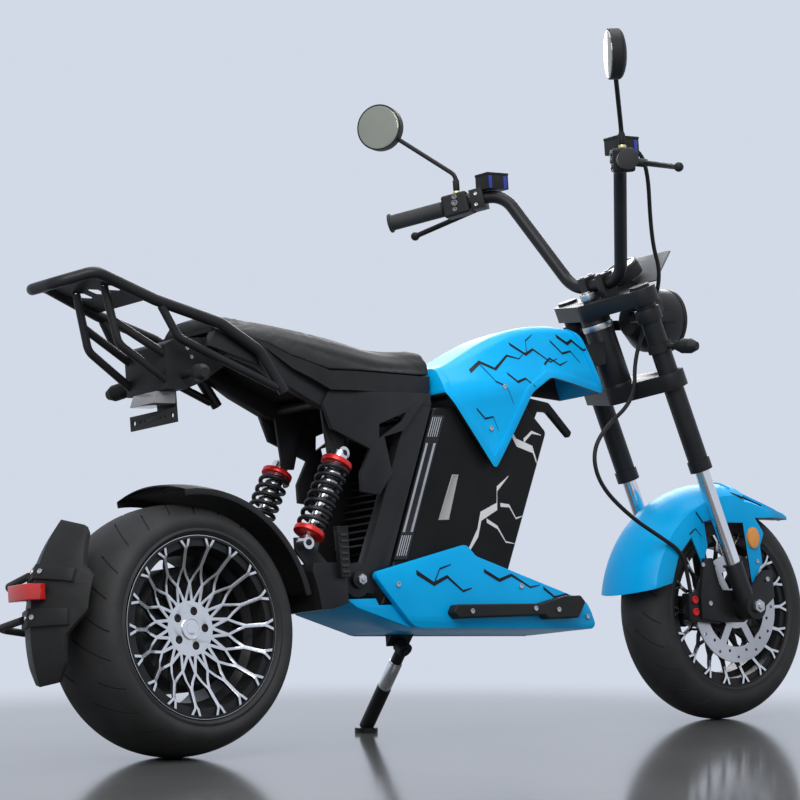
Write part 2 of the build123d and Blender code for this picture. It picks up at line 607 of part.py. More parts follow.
def tank_cover():
    """Cover over the backbone: a smooth hull cut to its winged side view, with a raised border."""
    stations = []
    for x, crown, wide, top, shoulder in TANK:
        rise = share(x) * (HEAD_HEIGHT - DRAWN_HEAD[1])
        stations.append((along(x), crown, wide, top + rise, shoulder + rise))
    side = fitted(TANK_SIDE)
    floor = TANK_SIDE[5][1] - 20
    hull = lofted(stations, floor, TANK_ROUND)
    border = lofted(stations, floor, TANK_ROUND, TANK_RELIEF)
    plane = Plane((0, 200, 0), x_dir=(1, 0, 0), z_dir=(0, -1, 0))
    border -= extrude(plane * offset(rounded(side), -TANK_BORDER), 400)
    hollow = lofted(stations, floor, TANK_ROUND, -WALL)
    hollow &= slab([(x - WALL, z if z > 800 else z - 60) for x, z, *_ in side], -200, 200)
    tunnel = slab(backbone_outline(CLEAR), -BACKBONE_HALF - CLEAR, BACKBONE_HALF + CLEAR)
    return {"tank_cover": ((hull + border) & slab(side, -200, 200)) - hollow - tunnel}


def frame():
    head = FORK.location * (post(HEAD_R, HEAD_LOW, HEAD_TOP) - post(STEM_R + 0.4, -200, 200))
    spine = slab(backbone_outline(), -BACKBONE_HALF, BACKBONE_HALF)
    spine -= FORK.location * post(HEAD_R - 4, -200, 200)
    beams = []
    for side in SIDES:
        low, high = sorted((side * BEAM_IN, side * BEAM_OUT))
        outline = [(548, 664), (606, 664), (462, 338), (418, 290), (360, 300), (350, 340), (404, 350)]
        plate = slab(outline, low, high)
        plate += pin(PIVOT[0], PIVOT[1], low, high, PIVOT_R)
        beams.append(plate - pin(PIVOT[0], PIVOT[1], low - 1, high + 1, PIVOT_BOLT_R + CLEAR))
    cross = slab([(550, 640), (550, 664.5), (600, 664.5), (590, 640)], -BEAM_OUT, BEAM_OUT)
    cross += slab([(578, 660), (578, 668), (598, 668), (598, 660)], -BACKBONE_HALF, BACKBONE_HALF)
    return {"main_frame": head + spine + beams + [cross]}


def lower_body():
    pieces = {
        "battery_case": eased(slab(BATTERY, -BATTERY_HALF, BATTERY_HALF), BATTERY_HALF, 7),
        "battery_latch": slab(LATCH, -80, -68),
        "belly_tray": slab(TRAY, -PANEL_IN + CLEAR, PANEL_IN - CLEAR),
    }
    pads, panels = [], []
    for side in SIDES:
        half = [(PANEL_IN, 190), (PANEL_OUT - 8, 200), (PANEL_OUT, 240, 60), (PANEL_OUT, 400),
                (PANEL_IN, 400)]
        low, high = sorted((side * PANEL_IN, side * PANEL_OUT))
        panel = slab(PANEL, low, high) & beam([(side * y, z, *r) for y, z, *r in half], 300, 1100)
        panels.append(panel)
        low, high = sorted((side * PANEL_OUT, side * (PANEL_OUT + 22)))
        pads.append(eased(slab(FOOT_PAD, low, high), PANEL_OUT + 22, 4))
    pieces["foot_pads"] = Part() + pads
    pieces["belly_panels"] = Part() + panels
    foot, top = Vector(*BATTERY[1][:2]), Vector(*BATTERY[0][:2])
    up = (top - foot).normalized()
    back = Vector(-up.Y, up.X)
    foot = foot + back * CLEAR

    def block(start, end, depth):
        near = [foot + up * start, foot + up * end]
        corners = near + [corner + back * depth for corner in reversed(near)]
        return slab([(c.X, c.Y) for c in corners], -HEAT_SINK_HALF, HEAT_SINK_HALF)

    fins = [block(d, d + FIN_T, FIN_DEPTH) for d in range(40, 260, FIN_PITCH)]
    pieces["controller_heat_sink"] = block(36, 264, 12) + fins
    return pieces


def seat():
    plan = board(mirrored(SEAT_PLAN), 500, 1000)
    tunnel = slab(backbone_outline(3), -BACKBONE_HALF - 3, BACKBONE_HALF + 3)
    above = [(60, SEAT_JOIN[0][1] + 4)] + [(x, z + CLEAR) for x, z in SEAT_JOIN[1:]] + SEAT_NOSE
    cushion = lofted(SEAT, SEAT_JOIN[-1][1] - 40, SEAT_ROUND) & slab(above, -150, 150)
    pan = slab(SEAT_JOIN + list(reversed(SEAT_LOW)), -150, 150) & plan
    return {"seat_cushion": cushion, "seat_base": pan - tunnel}


def subframe():
    halves = []
    rail = [(536.5, 640), (547.7, 664.8), (606, 664.8)]
    rail += [(x, z - CLEAR) for x, z in reversed(SEAT_LOW[:-1])]
    rail += [(60, 770), (180, 735), (240, 698), (330, 655)]
    for side in SIDES:
        low, high = sorted((side * RAIL_IN, side * RAIL_OUT))
        body = slab(rail, low, high)
        low, high = sorted((side * RAIL_OUT, side * (RAIL_OUT + 8)))
        body += slab(SIDE_PLATE, low, high) - slab(PLATE_HOLE, low, high)
        low, high = sorted((side * (SHOCK_Y - 24), side * (SHOCK_Y - 18)))
        x, z = SHOCK_TOP
        body += slab([(x - 26, z + 96), (x + 50, z + 96), (x + 14, z - 12), (x - 14, z - 12)], low, high)
        body += pin(x, z, *sorted((side * (SHOCK_Y - 20), side * (SHOCK_Y + 14))), SHOCK_PIN_R)
        halves.append(body)
    ties = [pin(350, 672, -RAIL_IN - 1, RAIL_IN + 1, 10), pin(130, 765, -RAIL_IN - 1, RAIL_IN + 1, 10)]
    return {"seat_subframe": Part() + halves + ties}


def tail():
    half = [(222, 684), (168, 762), (80, 812), (-60, 853), (-185, 903), (-246, 886)]
    spread = [RACK_HALF, RACK_HALF, RACK_HALF, RACK_HALF - 12, RACK_HALF - 22, RACK_HALF - 64]
    left = [(x, y, z) for (x, z), y in zip(half, spread)]
    loop = tube(left + [(x, -y, z) for x, y, z in reversed(left)], RACK_BEND, TUBE_R)
    plate_plane = Plane(origin=RACK_PLATE, x_dir=(130, 0, -45), z_dir=(45, 0, 130))
    plate = extrude(make_face(Polyline(*mirrored([(-66, -74), (66, -88)]), close=True).edges()), 5)
    holes = [Pos(0, y) * extrude(RegularPolygon(19, 6), 5) for y in (-46, 0, 46)]
    rack = loop + plate_plane.location * (plate - holes)
    for side in SIDES:
        brace = [(-48, side * (RACK_HALF - 11), 842), (-15, side * (RACK_HALF - 8), 782),
                 (205, side * RACK_HALF, 692)]
        rack += tube(brace, 30, TUBE_R - 3)
        rack += tube([(-140, side * 46, 884), (-118, side * 50, 775), (-14, side * 58, 704)], 30, 8)
        rack += rod((-128, side * 48, 820), (-14, side * 58, 754), 8)
    shell = [(-24, 690), (-24, 775, 8), (0, 786, 20), (60, 790), (112, 778), (112, 735), (60, 705), (20, 690)]
    housing = slab(shell, -RAIL_IN + 8, RAIL_IN - 8)
    housing += slab([(66, 774), (110, 762), (110, 778), (66, 790)], -RAIL_IN + CLEAR, RAIL_IN - CLEAR)
    rack -= slab([(-24 - CLEAR, 600), (-24 - CLEAR, 800), (100, 800), (100, 600)], -RAIL_IN, RAIL_IN)
    lens = slab([(-40, 666), (-30, 690 - CLEAR), (18, 690 - CLEAR), (14, 666)], -38, 38)
    bracket = slab([(19, 692), (23, 692), (23, 650), (-10, 650), (-10, 654), (19, 654)], -30, 30)
    bracket += slab([(-14, 626), (-10, 626), (-10, 654), (-14, 654)], -75, 75)
    plate_holes = ((-62, 5), (62, 5), (-40, 2.5), (-26, 2.5), (26, 2.5), (40, 2.5))
    holes = [rod((-40, y, 640), (0, y, 640), r) for y, r in plate_holes]
    signals = []
    for side in SIDES:
        start = Vector(14, side * (RAIL_IN - 8 + CLEAR), 716)
        aim = Vector(-0.3, side * 0.94, -0.14)
        stalk = rod(start, start + Vector(0, side * 46, 0), 7)
        signals.append(stalk + lamp_pod(start + Vector(0, side * 40, 0), aim))
    return {
        "tail_rack": rack,
        "tail_housing": housing + (bracket - holes),
        "tail_lamp": lens,
        "rear_indicators": Part() + signals,
    }


def keel_ring(grow, wall, start, end):
    outer = [(y, r + grow) for y, r in HUGGER_KEEL]
    inner = [(y * 0.95, r + grow - wall) for y, r in reversed(HUGGER_KEEL)]
    return ring(outer + inner, start, end)


def hugger():
    leaf = HUGGER_OUTLINE + [(-y, z, *r) for y, z, *r in reversed(HUGGER_OUTLINE) if y]
    guard = keel_ring(0, 5, 138, 197) & beam(leaf, -450, -100)
    core = ring([(-96, 0)] + [(y, r + CLEAR) for y, r in HUGGER_KEEL] + [(96, 0)], 200, 130)
    belt = board([(-450, -72), (-450, 72), (-100, 72), (-100, -72)], -200, 300)
    bands = [keel_ring(7, 9, start, end) & belt for start, end in ((156, 161), (171, 177))]
    stays = [tube([(-288, 40, 112), (-262, 160, 100), (-30, 160, 24)], 30, 7),
             tube([(-306, 40, 32), (-285, 160, 24), (-30, 160, -16)], 30, 7)]
    flange = slab([(-52, -33, 12), (30, -33, 12), (30, 33, 12), (-52, 33, 12)], ARM_OUT, ARM_OUT + 7)
    flange -= pin(0, 0, 0, 300, AXLE_R + CLEAR)
    stay = Part() + stays + bands + [flange]
    back = -REAR["radius"] - 104
    lamp = slab([(back, 64), (back, 94), (back + 42, 94), (back + 42, 64)], -31, 31) - core
    pieces = {"rear_hugger": guard + stay, "rear_reflector": lamp}
    return {name: REAR_HUB * shape for name, shape in pieces.items()}


def swing():
    x, z = PIVOT
    block = slab([(240, 262), (262, 352), (343, 352), (343, 272), (300, 262)], -ARM_IN + 2, ARM_OUT)
    block -= REAR_HUB * (Rot(90, 0, 0) * Cylinder(MUDGUARD_R + CLEAR, 2 * ARM_IN))
    arm = slab([(0, 284), (262, 352), (343, 352), (343, 272), (0, 192)], ARM_IN, ARM_OUT)
    arm += pin(0, AXLE_HEIGHT, ARM_IN, ARM_OUT, 50)
    neck = slab([(343, 290), (343, 346), (x, z + PIVOT_R), (x, z - PIVOT_R)], -66, 66)
    body = pin(x, z, -66, 66, PIVOT_R) + neck + block + arm
    lug_x, lug_z = SHOCK_LOW
    for side in SIDES:
        low, high = sorted((side * (SHOCK_Y - 18), side * (SHOCK_Y - 13)))
        lug = [(272, 345), (330, 345), (lug_x + 14, lug_z + 12), (lug_x - 14, lug_z + 12),
               (lug_x - 14, lug_z - 14)]
        body += slab(lug, low, high)
        body += pin(lug_x, lug_z, *sorted((side * (SHOCK_Y - 18), side * (SHOCK_Y + 14))), SHOCK_PIN_R)
    body -= pin(x, z, -200, 200, PIVOT_BOLT_R + CLEAR)
    body -= pin(0, AXLE_HEIGHT, 0, 300, AXLE_R + CLEAR)
    bolt = pin(x, z, -BEAM_OUT - 10, BEAM_OUT + 10, PIVOT_BOLT_R)
    bolt += pin(x, z, -BEAM_OUT - 10, -BEAM_OUT, 17) + pin(x, z, BEAM_OUT, BEAM_OUT + 10, 17)
    axle = pin(0, AXLE_HEIGHT, 20 + CLEAR, ARM_OUT + 16, AXLE_R)
    arch = arch_section(MUDGUARD_HALF, MUDGUARD_R - 30, MUDGUARD_R - 18, MUDGUARD_R, WALL)
    guard = REAR_HUB * spun(arch, 97, 12)
    caliper = slab([(55, -10), (118, 0), (112, 55), (60, 55)], REAR_DISC_Y - 18, ARM_IN - CLEAR)
    caliper -= disc(REAR_DISC_Y - 5, REAR_DISC_R + 6, 0, DISC_T + 10)
    return {
        "swingarm": body,
        "pivot_bolt": bolt,
        "rear_axle": axle,
        "rear_mudguard": guard,
        "rear_caliper": REAR_HUB * caliper,
    }


def shocks():
    dampers, springs, collars = [], [], []
    for side in SIDES:
        low = Vector(SHOCK_LOW[0], side * SHOCK_Y, SHOCK_LOW[1])
        top = Vector(SHOCK_TOP[0], side * SHOCK_Y, SHOCK_TOP[1])
        along = (top - low).normalized()
        length = (top - low).length

        def piece(start, end, radius):
            return rod(low + along * start, low + along * end, radius)

        body = piece(0, length - 80, 9) + piece(length - 90, length, DAMPER_R)
        for x, z in (SHOCK_LOW, SHOCK_TOP):
            inner, outer = sorted((side * (SHOCK_Y - 12), side * (SHOCK_Y + 12)))
            body += pin(x, z, inner, outer, 13)
        for x, z in (SHOCK_LOW, SHOCK_TOP):
            body -= pin(x, z, -200, 200, SHOCK_PIN_R + CLEAR)
        dampers.append(body)
        first = 28 + WIRE_R + CLEAR
        rise = length - 2 * first
        coil = Helix(rise / SPRING_TURNS, rise, SPRING_R - WIRE_R)
        wire = sweep(Plane(origin=coil @ 0, z_dir=coil % 0) * Circle(WIRE_R), path=coil, is_frenet=True)
        springs.append(Plane(origin=low + along * first, z_dir=along).location * wire)
        collars.append(piece(18, 28, SPRING_R) - piece(0, 40, 9 + CLEAR))
        hole = piece(length - 40, length, DAMPER_R + CLEAR)
        collars.append(piece(length - 28, length - 18, SPRING_R) - hole)
    groups = dict(shock_dampers=dampers, shock_springs=springs, shock_collars=collars)
    return {name: Part() + solids for name, solids in groups.items()}


def stand_vectors():
    """Stand pivot, the point of its foot on the ground, the floor's normal and the hinge direction."""
    lean = math.radians(LEAN_DEG)
    top = Vector(*STAND_PIVOT)
    x, y = STAND_FOOT
    ground = Vector(x, y, y * math.tan(lean) - PARK_SHIFT[2] / math.cos(lean))
    floor = Vector(0, -math.sin(lean), math.cos(lean))
    hinge = (ground - top).cross(Vector(*STAND_FOLDED)).normalized()
    return top, ground, floor, hinge


def side_stand():
    top, ground, floor, hinge = stand_vectors()
    ankle = ground + floor * 12
    leg = rod(top, ankle, STAND_R) + rod(top + (ankle - top) * 0.5, ankle, STAND_R + 3)
    leg += Plane(origin=ground, z_dir=floor).location * Cylinder(STAND_FOOT_R, 10, align=BASE)
    leg += rod(top - hinge * 11, top + hinge * 11, 16)
    leg -= rod(top - hinge * 40, top + hinge * 40, STAND_PIN_R + CLEAR)
    x, y, z = STAND_PIVOT
    slope = (TRAY[3][1] - TRAY[2][1]) / (TRAY[3][0] - TRAY[2][0])
    under = [(px, TRAY[2][1] + (px - TRAY[2][0]) * slope - CLEAR) for px in (x + 30, x - 30)]
    bracket = slab([(x - 30, z - 20), (x + 30, z - 20)] + under, y - 22, PANEL_IN - 1)
    bracket -= Plane(origin=top + hinge * STAND_CHEEK, z_dir=-hinge).location * Box(200, 200, 100, align=BASE)
    bracket += rod(top - hinge * 14, top + hinge * (STAND_CHEEK + 3), STAND_PIN_R)
    return {"side_stand": leg, "stand_bracket": bracket}


STEERED = (front_fork, front_fender, bars, lamps, brake_hose)
FIXED = (frame, tank_cover, lower_body, seat, subframe, tail, hugger, swing, shocks, side_stand)


def build():
    """All pieces in their parked pose, by node name."""
    steering = Axis(tuple(HEAD), tuple(FORK_UP))
    parked = Pos(*PARK_SHIFT) * Rot(-LEAN_DEG, 0, 0)
    pieces = {name: REAR_HUB * shape for name, shape in rear_wheel().items()}
    for maker in FIXED:
        pieces.update(maker())
    turned = {name: FRONT_HUB * shape for name, shape in front_wheel().items()}
    for maker in STEERED:
        turned.update(maker())
    pieces.update({name: shape.rotate(steering, STEER_DEG) for name, shape in turned.items()})
    return {name: parked * shape for name, shape in pieces.items()}


if __name__ == "__main__":
    os.makedirs("parts", exist_ok=True)
    for name, shape in build().items():
        export_step(shape, f"parts/{name}.step")
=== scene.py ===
import bmesh
import bpy
import json
import math
from mathutils import Matrix, Vector


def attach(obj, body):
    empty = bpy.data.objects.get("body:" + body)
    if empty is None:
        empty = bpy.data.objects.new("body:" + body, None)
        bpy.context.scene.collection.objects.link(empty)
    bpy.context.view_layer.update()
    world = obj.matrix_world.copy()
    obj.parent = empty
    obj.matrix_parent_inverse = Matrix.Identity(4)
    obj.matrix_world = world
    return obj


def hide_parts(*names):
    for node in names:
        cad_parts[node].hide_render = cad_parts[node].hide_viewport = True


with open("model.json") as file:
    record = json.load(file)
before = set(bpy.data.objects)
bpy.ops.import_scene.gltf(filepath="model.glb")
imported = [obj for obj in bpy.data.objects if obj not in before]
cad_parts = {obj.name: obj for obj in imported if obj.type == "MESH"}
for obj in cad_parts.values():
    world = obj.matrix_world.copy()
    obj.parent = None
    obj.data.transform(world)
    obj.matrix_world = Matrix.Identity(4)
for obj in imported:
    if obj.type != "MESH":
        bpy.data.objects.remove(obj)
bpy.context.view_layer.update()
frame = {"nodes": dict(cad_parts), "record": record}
nodes = frame["nodes"]

# The parked stance, the same as the solids': pieces are placed in millimetres on the upright scooter,
# with the origin on the ground under the rear axle, and leaned and shifted from there.
LEAN = math.radians(6.5)
STEER = math.radians(-4.0)
PARK = Vector((-0.6822, -0.1424, 0.0014))
AXLE_HEIGHT = 238.0
WHEELBASE = 1468.0
REAR_AXLE = Vector((0, 0, AXLE_HEIGHT))
FRONT_AXLE = Vector((WHEELBASE, 0, AXLE_HEIGHT))
RAKE = math.radians(20.0)
HEAD = Vector((1204.6, 0.0, 821.5))
FORK_UP = Vector((-math.sin(RAKE), 0.0, math.cos(RAKE)))
FORK_AHEAD = Vector((math.cos(RAKE), 0.0, math.sin(RAKE)))
RIGHT = (0, -1, 0)
SIDES = ((-1, "right"), (1, "left"))

# Camera of the photograph
VIEW_AZIMUTH = math.radians(-40.45)
VIEW_TILT = math.radians(-1.75)
VIEW_PLACE = Vector((-3.9609, -4.6225, 0.5038))
VIEW_LENS = 132.3


def parked():
    """Upright scooter in millimetres to the parked frame in metres."""
    return Matrix.Translation(PARK) @ Matrix.Rotation(-LEAN, 4, "X") @ Matrix.Scale(0.001, 4)


def steered():
    """As parked, for what turns with the bars."""
    turn = Matrix.Translation(HEAD) @ Matrix.Rotation(STEER, 4, FORK_UP) @ Matrix.Translation(-HEAD)
    return parked() @ turn


# Handling


def deselect():
    if bpy.context.mode != "OBJECT":
        bpy.ops.object.mode_set(mode="OBJECT")
    bpy.ops.object.select_all(action="DESELECT")


def take(piece):
    """Make a piece the only selected and active one."""
    deselect()
    piece.select_set(True)
    bpy.context.view_layer.objects.active = piece
    return piece


def edit(piece):
    take(piece)
    bpy.ops.object.mode_set(mode="EDIT")
    bpy.ops.mesh.select_mode(type="FACE")
    bpy.ops.mesh.select_all(action="DESELECT")


def pick(piece, wanted):
    """Select the faces whose middle and normal are wanted, in edit mode."""
    mesh = bmesh.from_edit_mesh(piece.data)
    for face in mesh.faces:
        face.select = wanted(face.calc_center_median(), face.normal)
    bmesh.update_edit_mesh(piece.data)


def pull(distance):
    """Extrude the selected faces along their normals."""
    bpy.ops.mesh.extrude_region_shrink_fatten(TRANSFORM_OT_shrink_fatten={"value": distance})


def upward(middle, normal):
    return normal.z > 0.9


def stepped(piece, *steps, wanted=upward):
    """Inset the wanted faces, as a rule the top, and pull them, once for each (inset, pull) step."""
    edit(piece)
    pick(piece, wanted)
    for margin, rise in steps:
        bpy.ops.mesh.inset(thickness=margin)
        pull(rise)
    return piece


def block(name, size, centre=(0, 0, 0)):
    """Square start of a size in millimetres."""
    deselect()
    bpy.ops.mesh.primitive_cube_add(size=1, location=centre, scale=size)
    piece = bpy.context.object
    piece.name = name
    bpy.ops.object.transform_apply(location=True, rotation=True, scale=True)
    return piece


def drum(name, radius, depth, sides=32):
    """Round start about its own Z axis, standing on its base."""
    deselect()
    middle = (0, 0, depth / 2)
    bpy.ops.mesh.primitive_cylinder_add(vertices=sides, radius=radius, depth=depth, location=middle)
    piece = bpy.context.object
    piece.name = name
    bpy.ops.object.transform_apply(location=True, rotation=True, scale=True)
    return piece


def eased(piece, width, segments=2, angle=35.0):
    """Round a piece's sharp edges."""
    take(piece)
    edge = piece.modifiers.new("edge", "BEVEL")
    edge.width = width
    edge.segments = segments
    edge.limit_method = "ANGLE"
    edge.angle_limit = math.radians(angle)
    bpy.ops.object.modifier_apply(modifier="edge")
    return piece


def open_ring(name, radius, depth, thickness, sides, rounding, segments):
    """Short tube about its own Z axis, with its wall outside the radius."""
    deselect()
    bpy.ops.mesh.primitive_cylinder_add(vertices=sides, radius=radius, depth=depth, end_fill_type="NOTHING")
    piece = bpy.context.object
    piece.name = name
    wall = piece.modifiers.new("wall", "SOLIDIFY")
    wall.thickness = thickness
    wall.offset = 1
    bpy.ops.object.modifier_apply(modifier="wall")
    return eased(piece, rounding, segments, 40)


def facing(place, direction):
    """Matrix that stands a piece on a place, with its Z axis along a direction."""
    turn = Vector(direction).to_track_quat("Z", "Y")
    return Matrix.Translation(Vector(place)) @ turn.to_matrix().to_4x4()


def settle(piece, place):
    """Write a piece's place into its mesh."""
    take(piece)
    piece.matrix_world = place
    bpy.ops.object.transform_apply(location=True, rotation=True, scale=True)
    return piece


def fit(piece, place, body, finish, slot, angle=35.0):
    """Put a finished shape in its place, on its body and in its finish."""
    settle(piece, place)
    bpy.ops.object.shade_smooth_by_angle(angle=math.radians(angle))
    piece.data.materials.clear()
    piece.data.materials.append(finish)
    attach(piece, body)
    return piece


def twin(piece, name):
    """Copy with a mesh of its own."""
    copy = piece.copy()
    copy.data = piece.data.copy()
    copy.name = name
    bpy.context.scene.collection.objects.link(copy)
    return copy


def gathered(pieces, name):
    """One object of several copies."""
    deselect()
    for piece in pieces:
        piece.select_set(True)
    bpy.context.view_layer.objects.active = pieces[0]
    if len(pieces) > 1:
        bpy.ops.object.join()
    pieces[0].name = name
    return pieces[0]


def repeated(model, shifts):
    """A piece and a copy of it at each shift."""
    copies = [model]
    for number, shift in enumerate(shifts, 1):
        copies.append(settle(twin(model, f"{model.name}_{number}"), Matrix.Translation(shift)))
    return copies


def from_solid(node, name, flatten=0.5):
    """Merged copy of a CAD node's mesh, with its flat triangles joined."""
    piece = bpy.data.objects.new(name, nodes[node].data.copy())
    bpy.context.scene.collection.objects.link(piece)
    take(piece)
    bpy.ops.mesh.customdata_custom_splitnormals_clear()
    edit(piece)
    bpy.ops.mesh.select_all(action="SELECT")
    bpy.ops.mesh.remove_doubles(threshold=0.000005)
    if flatten:
        bpy.ops.mesh.dissolve_limited(angle_limit=math.radians(flatten))
    bpy.ops.object.mode_set(mode="OBJECT")
    return piece


# Finishes


def new_finish(name):
    """Material with its node tree and its shader."""
    material = bpy.data.materials.new(name)
    material.use_nodes = True
    tree = material.node_tree
    return material, tree, tree.nodes["Principled BSDF"]


def add(tree, kind, **settings):
    """Node whose sockets, or else properties, take the settings."""
    node = tree.nodes.new(kind)
    for key, value in settings.items():
        if key in node.inputs:
            node.inputs[key].default_value = value
        else:
            setattr(node, key.lower(), value)
    return node


def noise(tree, scale, detail=4.0, rough=0.55):
    coords = add(tree, "ShaderNodeTexCoord")
    texture = add(tree, "ShaderNodeTexNoise", Scale=scale, Detail=detail, Roughness=rough)
    tree.links.new(coords.outputs["Object"], texture.inputs["Vector"])
    return texture


def ramp(tree, source, low, high, start=0.3, end=0.7):
    node = add(tree, "ShaderNodeValToRGB")
    first, last = node.color_ramp.elements
    first.position, last.position = start, end
    first.color, last.color = (*low, 1.0), (*high, 1.0)
    tree.links.new(source, node.inputs["Fac"])
    return node


def spread(tree, source, low, high):
    node = add(tree, "ShaderNodeMapRange")
    node.inputs["To Min"].default_value = low
    node.inputs["To Max"].default_value = high
    tree.links.new(source, node.inputs["Value"])
    return node


def bump(tree, shader, source, strength, distance):
    node = add(tree, "ShaderNodeBump", Strength=strength, Distance=distance)
    tree.links.new(source, node.inputs["Height"])
    tree.links.new(node.outputs["Normal"], shader.inputs["Normal"])


def worn_finish(name, dark, light, roughness, metallic=0.0, patch=9.0, grain=900.0, relief=0.05,
                coat=0.0, shine=0.5):
    """Colour that drifts between two tones, with a fine grain in gloss and relief."""
    material, tree, shader = new_finish(name)
    drift = noise(tree, patch, 5.0)
    tone = ramp(tree, drift.outputs["Fac"], dark, light)
    tree.links.new(tone.outputs["Color"], shader.inputs["Base Color"])
    fine = noise(tree, grain, 2.0, 0.6)
    gloss = spread(tree, fine.outputs["Fac"], roughness[0], roughness[1])
    tree.links.new(gloss.outputs["Result"], shader.inputs["Roughness"])
    bump(tree, shader, fine.outputs["Fac"], relief, 0.001)
    shader.inputs["Metallic"].default_value = metallic
    shader.inputs["Specular IOR Level"].default_value = shine
    shader.inputs["Coat Weight"].default_value = coat
    shader.inputs["Coat Roughness"].default_value = 0.05
    return material


# Each has a dark and a light tone, a range of roughness and what differs from the plain finish
blue_lacquer = worn_finish("blue_lacquer", (0.0, 0.36, 0.76), (0.0, 0.41, 0.83), (0.33, 0.43),
                           grain=260, relief=0.02, coat=0.03, shine=0.14)
satin_black = worn_finish("satin_black", (0.008, 0.008, 0.009), (0.017, 0.017, 0.018), (0.34, 0.48),
                          grain=700, relief=0.06, shine=0.24)
moulded_black = worn_finish("moulded_black", (0.010, 0.010, 0.010), (0.020, 0.020, 0.020), (0.45, 0.62),
                            grain=1400, relief=0.12, shine=0.2)
battery_black = worn_finish("battery_black", (0.004, 0.005, 0.005), (0.009, 0.010, 0.010), (0.36, 0.5),
                            grain=900, relief=0.05, shine=0.12)
tyre_black = worn_finish("tyre_black", (0.012, 0.012, 0.012), (0.026, 0.026, 0.026), (0.55, 0.8),
                         patch=14, grain=500, relief=0.15, shine=0.4)
grip_black = worn_finish("grip_black", (0.010, 0.010, 0.010), (0.022, 0.022, 0.022), (0.6, 0.8),
                         grain=600, relief=0.2)
seat_hide = worn_finish("seat_hide", (0.009, 0.009, 0.009), (0.018, 0.018, 0.017), (0.48, 0.64),
                        patch=20, grain=420, relief=0.35, shine=0.35)
chrome = worn_finish("chrome", (0.70, 0.71, 0.73), (0.82, 0.83, 0.85), (0.05, 0.12),
                     metallic=1.0, grain=300, relief=0.01)
brushed_steel = worn_finish("brushed_steel", (0.42, 0.42, 0.43), (0.58, 0.58, 0.60), (0.28, 0.42),
                            metallic=1.0, grain=420, relief=0.05)
machined_alloy = worn_finish("machined_alloy", (0.62, 0.63, 0.65), (0.78, 0.79, 0.81), (0.18, 0.3),
                             metallic=1.0, grain=520, relief=0.05)
black_alloy = worn_finish("black_alloy", (0.012, 0.012, 0.013), (0.03, 0.03, 0.031), (0.35, 0.5),
                          metallic=0.6, grain=800, relief=0.08)
red_anodised = worn_finish("red_anodised", (0.55, 0.012, 0.012), (0.72, 0.022, 0.02), (0.25, 0.35),
                           metallic=0.35, grain=500, relief=0.03)
red_lens = worn_finish("red_lens", (0.45, 0.01, 0.008), (0.62, 0.02, 0.015), (0.1, 0.18),
                       grain=380, relief=0.06, coat=0.5)
smoke_grey = worn_finish("smoke_grey", (0.10, 0.105, 0.11), (0.15, 0.155, 0.16), (0.25, 0.38),
                         grain=600, relief=0.05)
pale_grey = worn_finish("pale_grey", (0.30, 0.31, 0.31), (0.38, 0.39, 0.39), (0.3, 0.42),
                        grain=600, relief=0.05, shine=0.3)
mirror_glass = worn_finish("mirror_glass", (0.33, 0.335, 0.27), (0.38, 0.385, 0.32), (0.06, 0.10),
                           metallic=0.9, grain=200, relief=0.005)
amber_lens = worn_finish("amber_lens", (0.62, 0.22, 0.02), (0.78, 0.32, 0.03), (0.12, 0.2),
                         grain=700, relief=0.1, coat=0.5)
brass = worn_finish("brass", (0.62, 0.55, 0.28), (0.74, 0.66, 0.36), (0.25, 0.35),
                    metallic=0.9, grain=400, relief=0.03)
deep_blue = worn_finish("deep_blue", (0.006, 0.02, 0.25), (0.012, 0.035, 0.34), (0.25, 0.35),
                        grain=400, relief=0.03, coat=0.3)
dial_black = worn_finish("dial_black", (0.006, 0.006, 0.007), (0.014, 0.014, 0.015), (0.08, 0.14),
                         grain=200, relief=0.01, coat=0.6)
streak_black = worn_finish("streak_black", (0.004, 0.004, 0.005), (0.008, 0.008, 0.009), (0.35, 0.45),
                           grain=300, relief=0.03, shine=0.2)
streak_white = worn_finish("streak_white", (0.62, 0.63, 0.65), (0.74, 0.75, 0.77), (0.25, 0.36),
                           grain=300, relief=0.03, coat=0.2)
tail_lens = worn_finish("tail_lens", (0.20, 0.20, 0.21), (0.27, 0.27, 0.28), (0.12, 0.2),
                        grain=240, relief=0.05, coat=0.4)
lamp_lens = worn_finish("lamp_lens", (0.55, 0.57, 0.6), (0.7, 0.72, 0.75), (0.06, 0.12),
                        grain=200, relief=0.03, coat=0.6)

DRESS = {
    blue_lacquer: ("tank_cover", "belly_panels", "front_fender", "belly_tray"),
    satin_black: ("main_frame", "seat_subframe", "swingarm", "tail_rack", "upper_clamp", "steering_stem",
                  "fork_shrouds", "fork_feet", "headlight_bracket", "handlebar", "fender_brackets",
                  "side_stand", "stand_bracket", "rear_rim_barrel", "front_rim_barrel", "rear_hub_motor",
                  "front_caliper", "rear_caliper", "headlight_bucket", "pivot_bolt"),
    moulded_black: ("tail_housing", "switch_pods", "foot_pads", "seat_base", "rear_mudguard",
                    "rear_hugger", "instrument_pod", "brake_levers", "mirrors", "front_indicators",
                    "rear_indicators", "brake_hose"),
    battery_black: ("battery_case", "battery_latch"),
    tyre_black: ("rear_tyre", "front_tyre"),
    grip_black: ("grips",),
    seat_hide: ("seat_cushion",),
    chrome: ("fork_stanchions",),
    brushed_steel: ("rear_brake_disc", "front_brake_disc", "rear_axle", "front_axle"),
    machined_alloy: ("rear_wheel_spokes", "front_wheel_spokes", "shock_dampers"),
    black_alloy: ("controller_heat_sink", "shock_springs"),
    red_anodised: ("shock_collars",),
    red_lens: ("rear_reflector",),
    smoke_grey: ("visor",),
    tail_lens: ("tail_lamp",),
    lamp_lens: ("headlight_lens",),
}
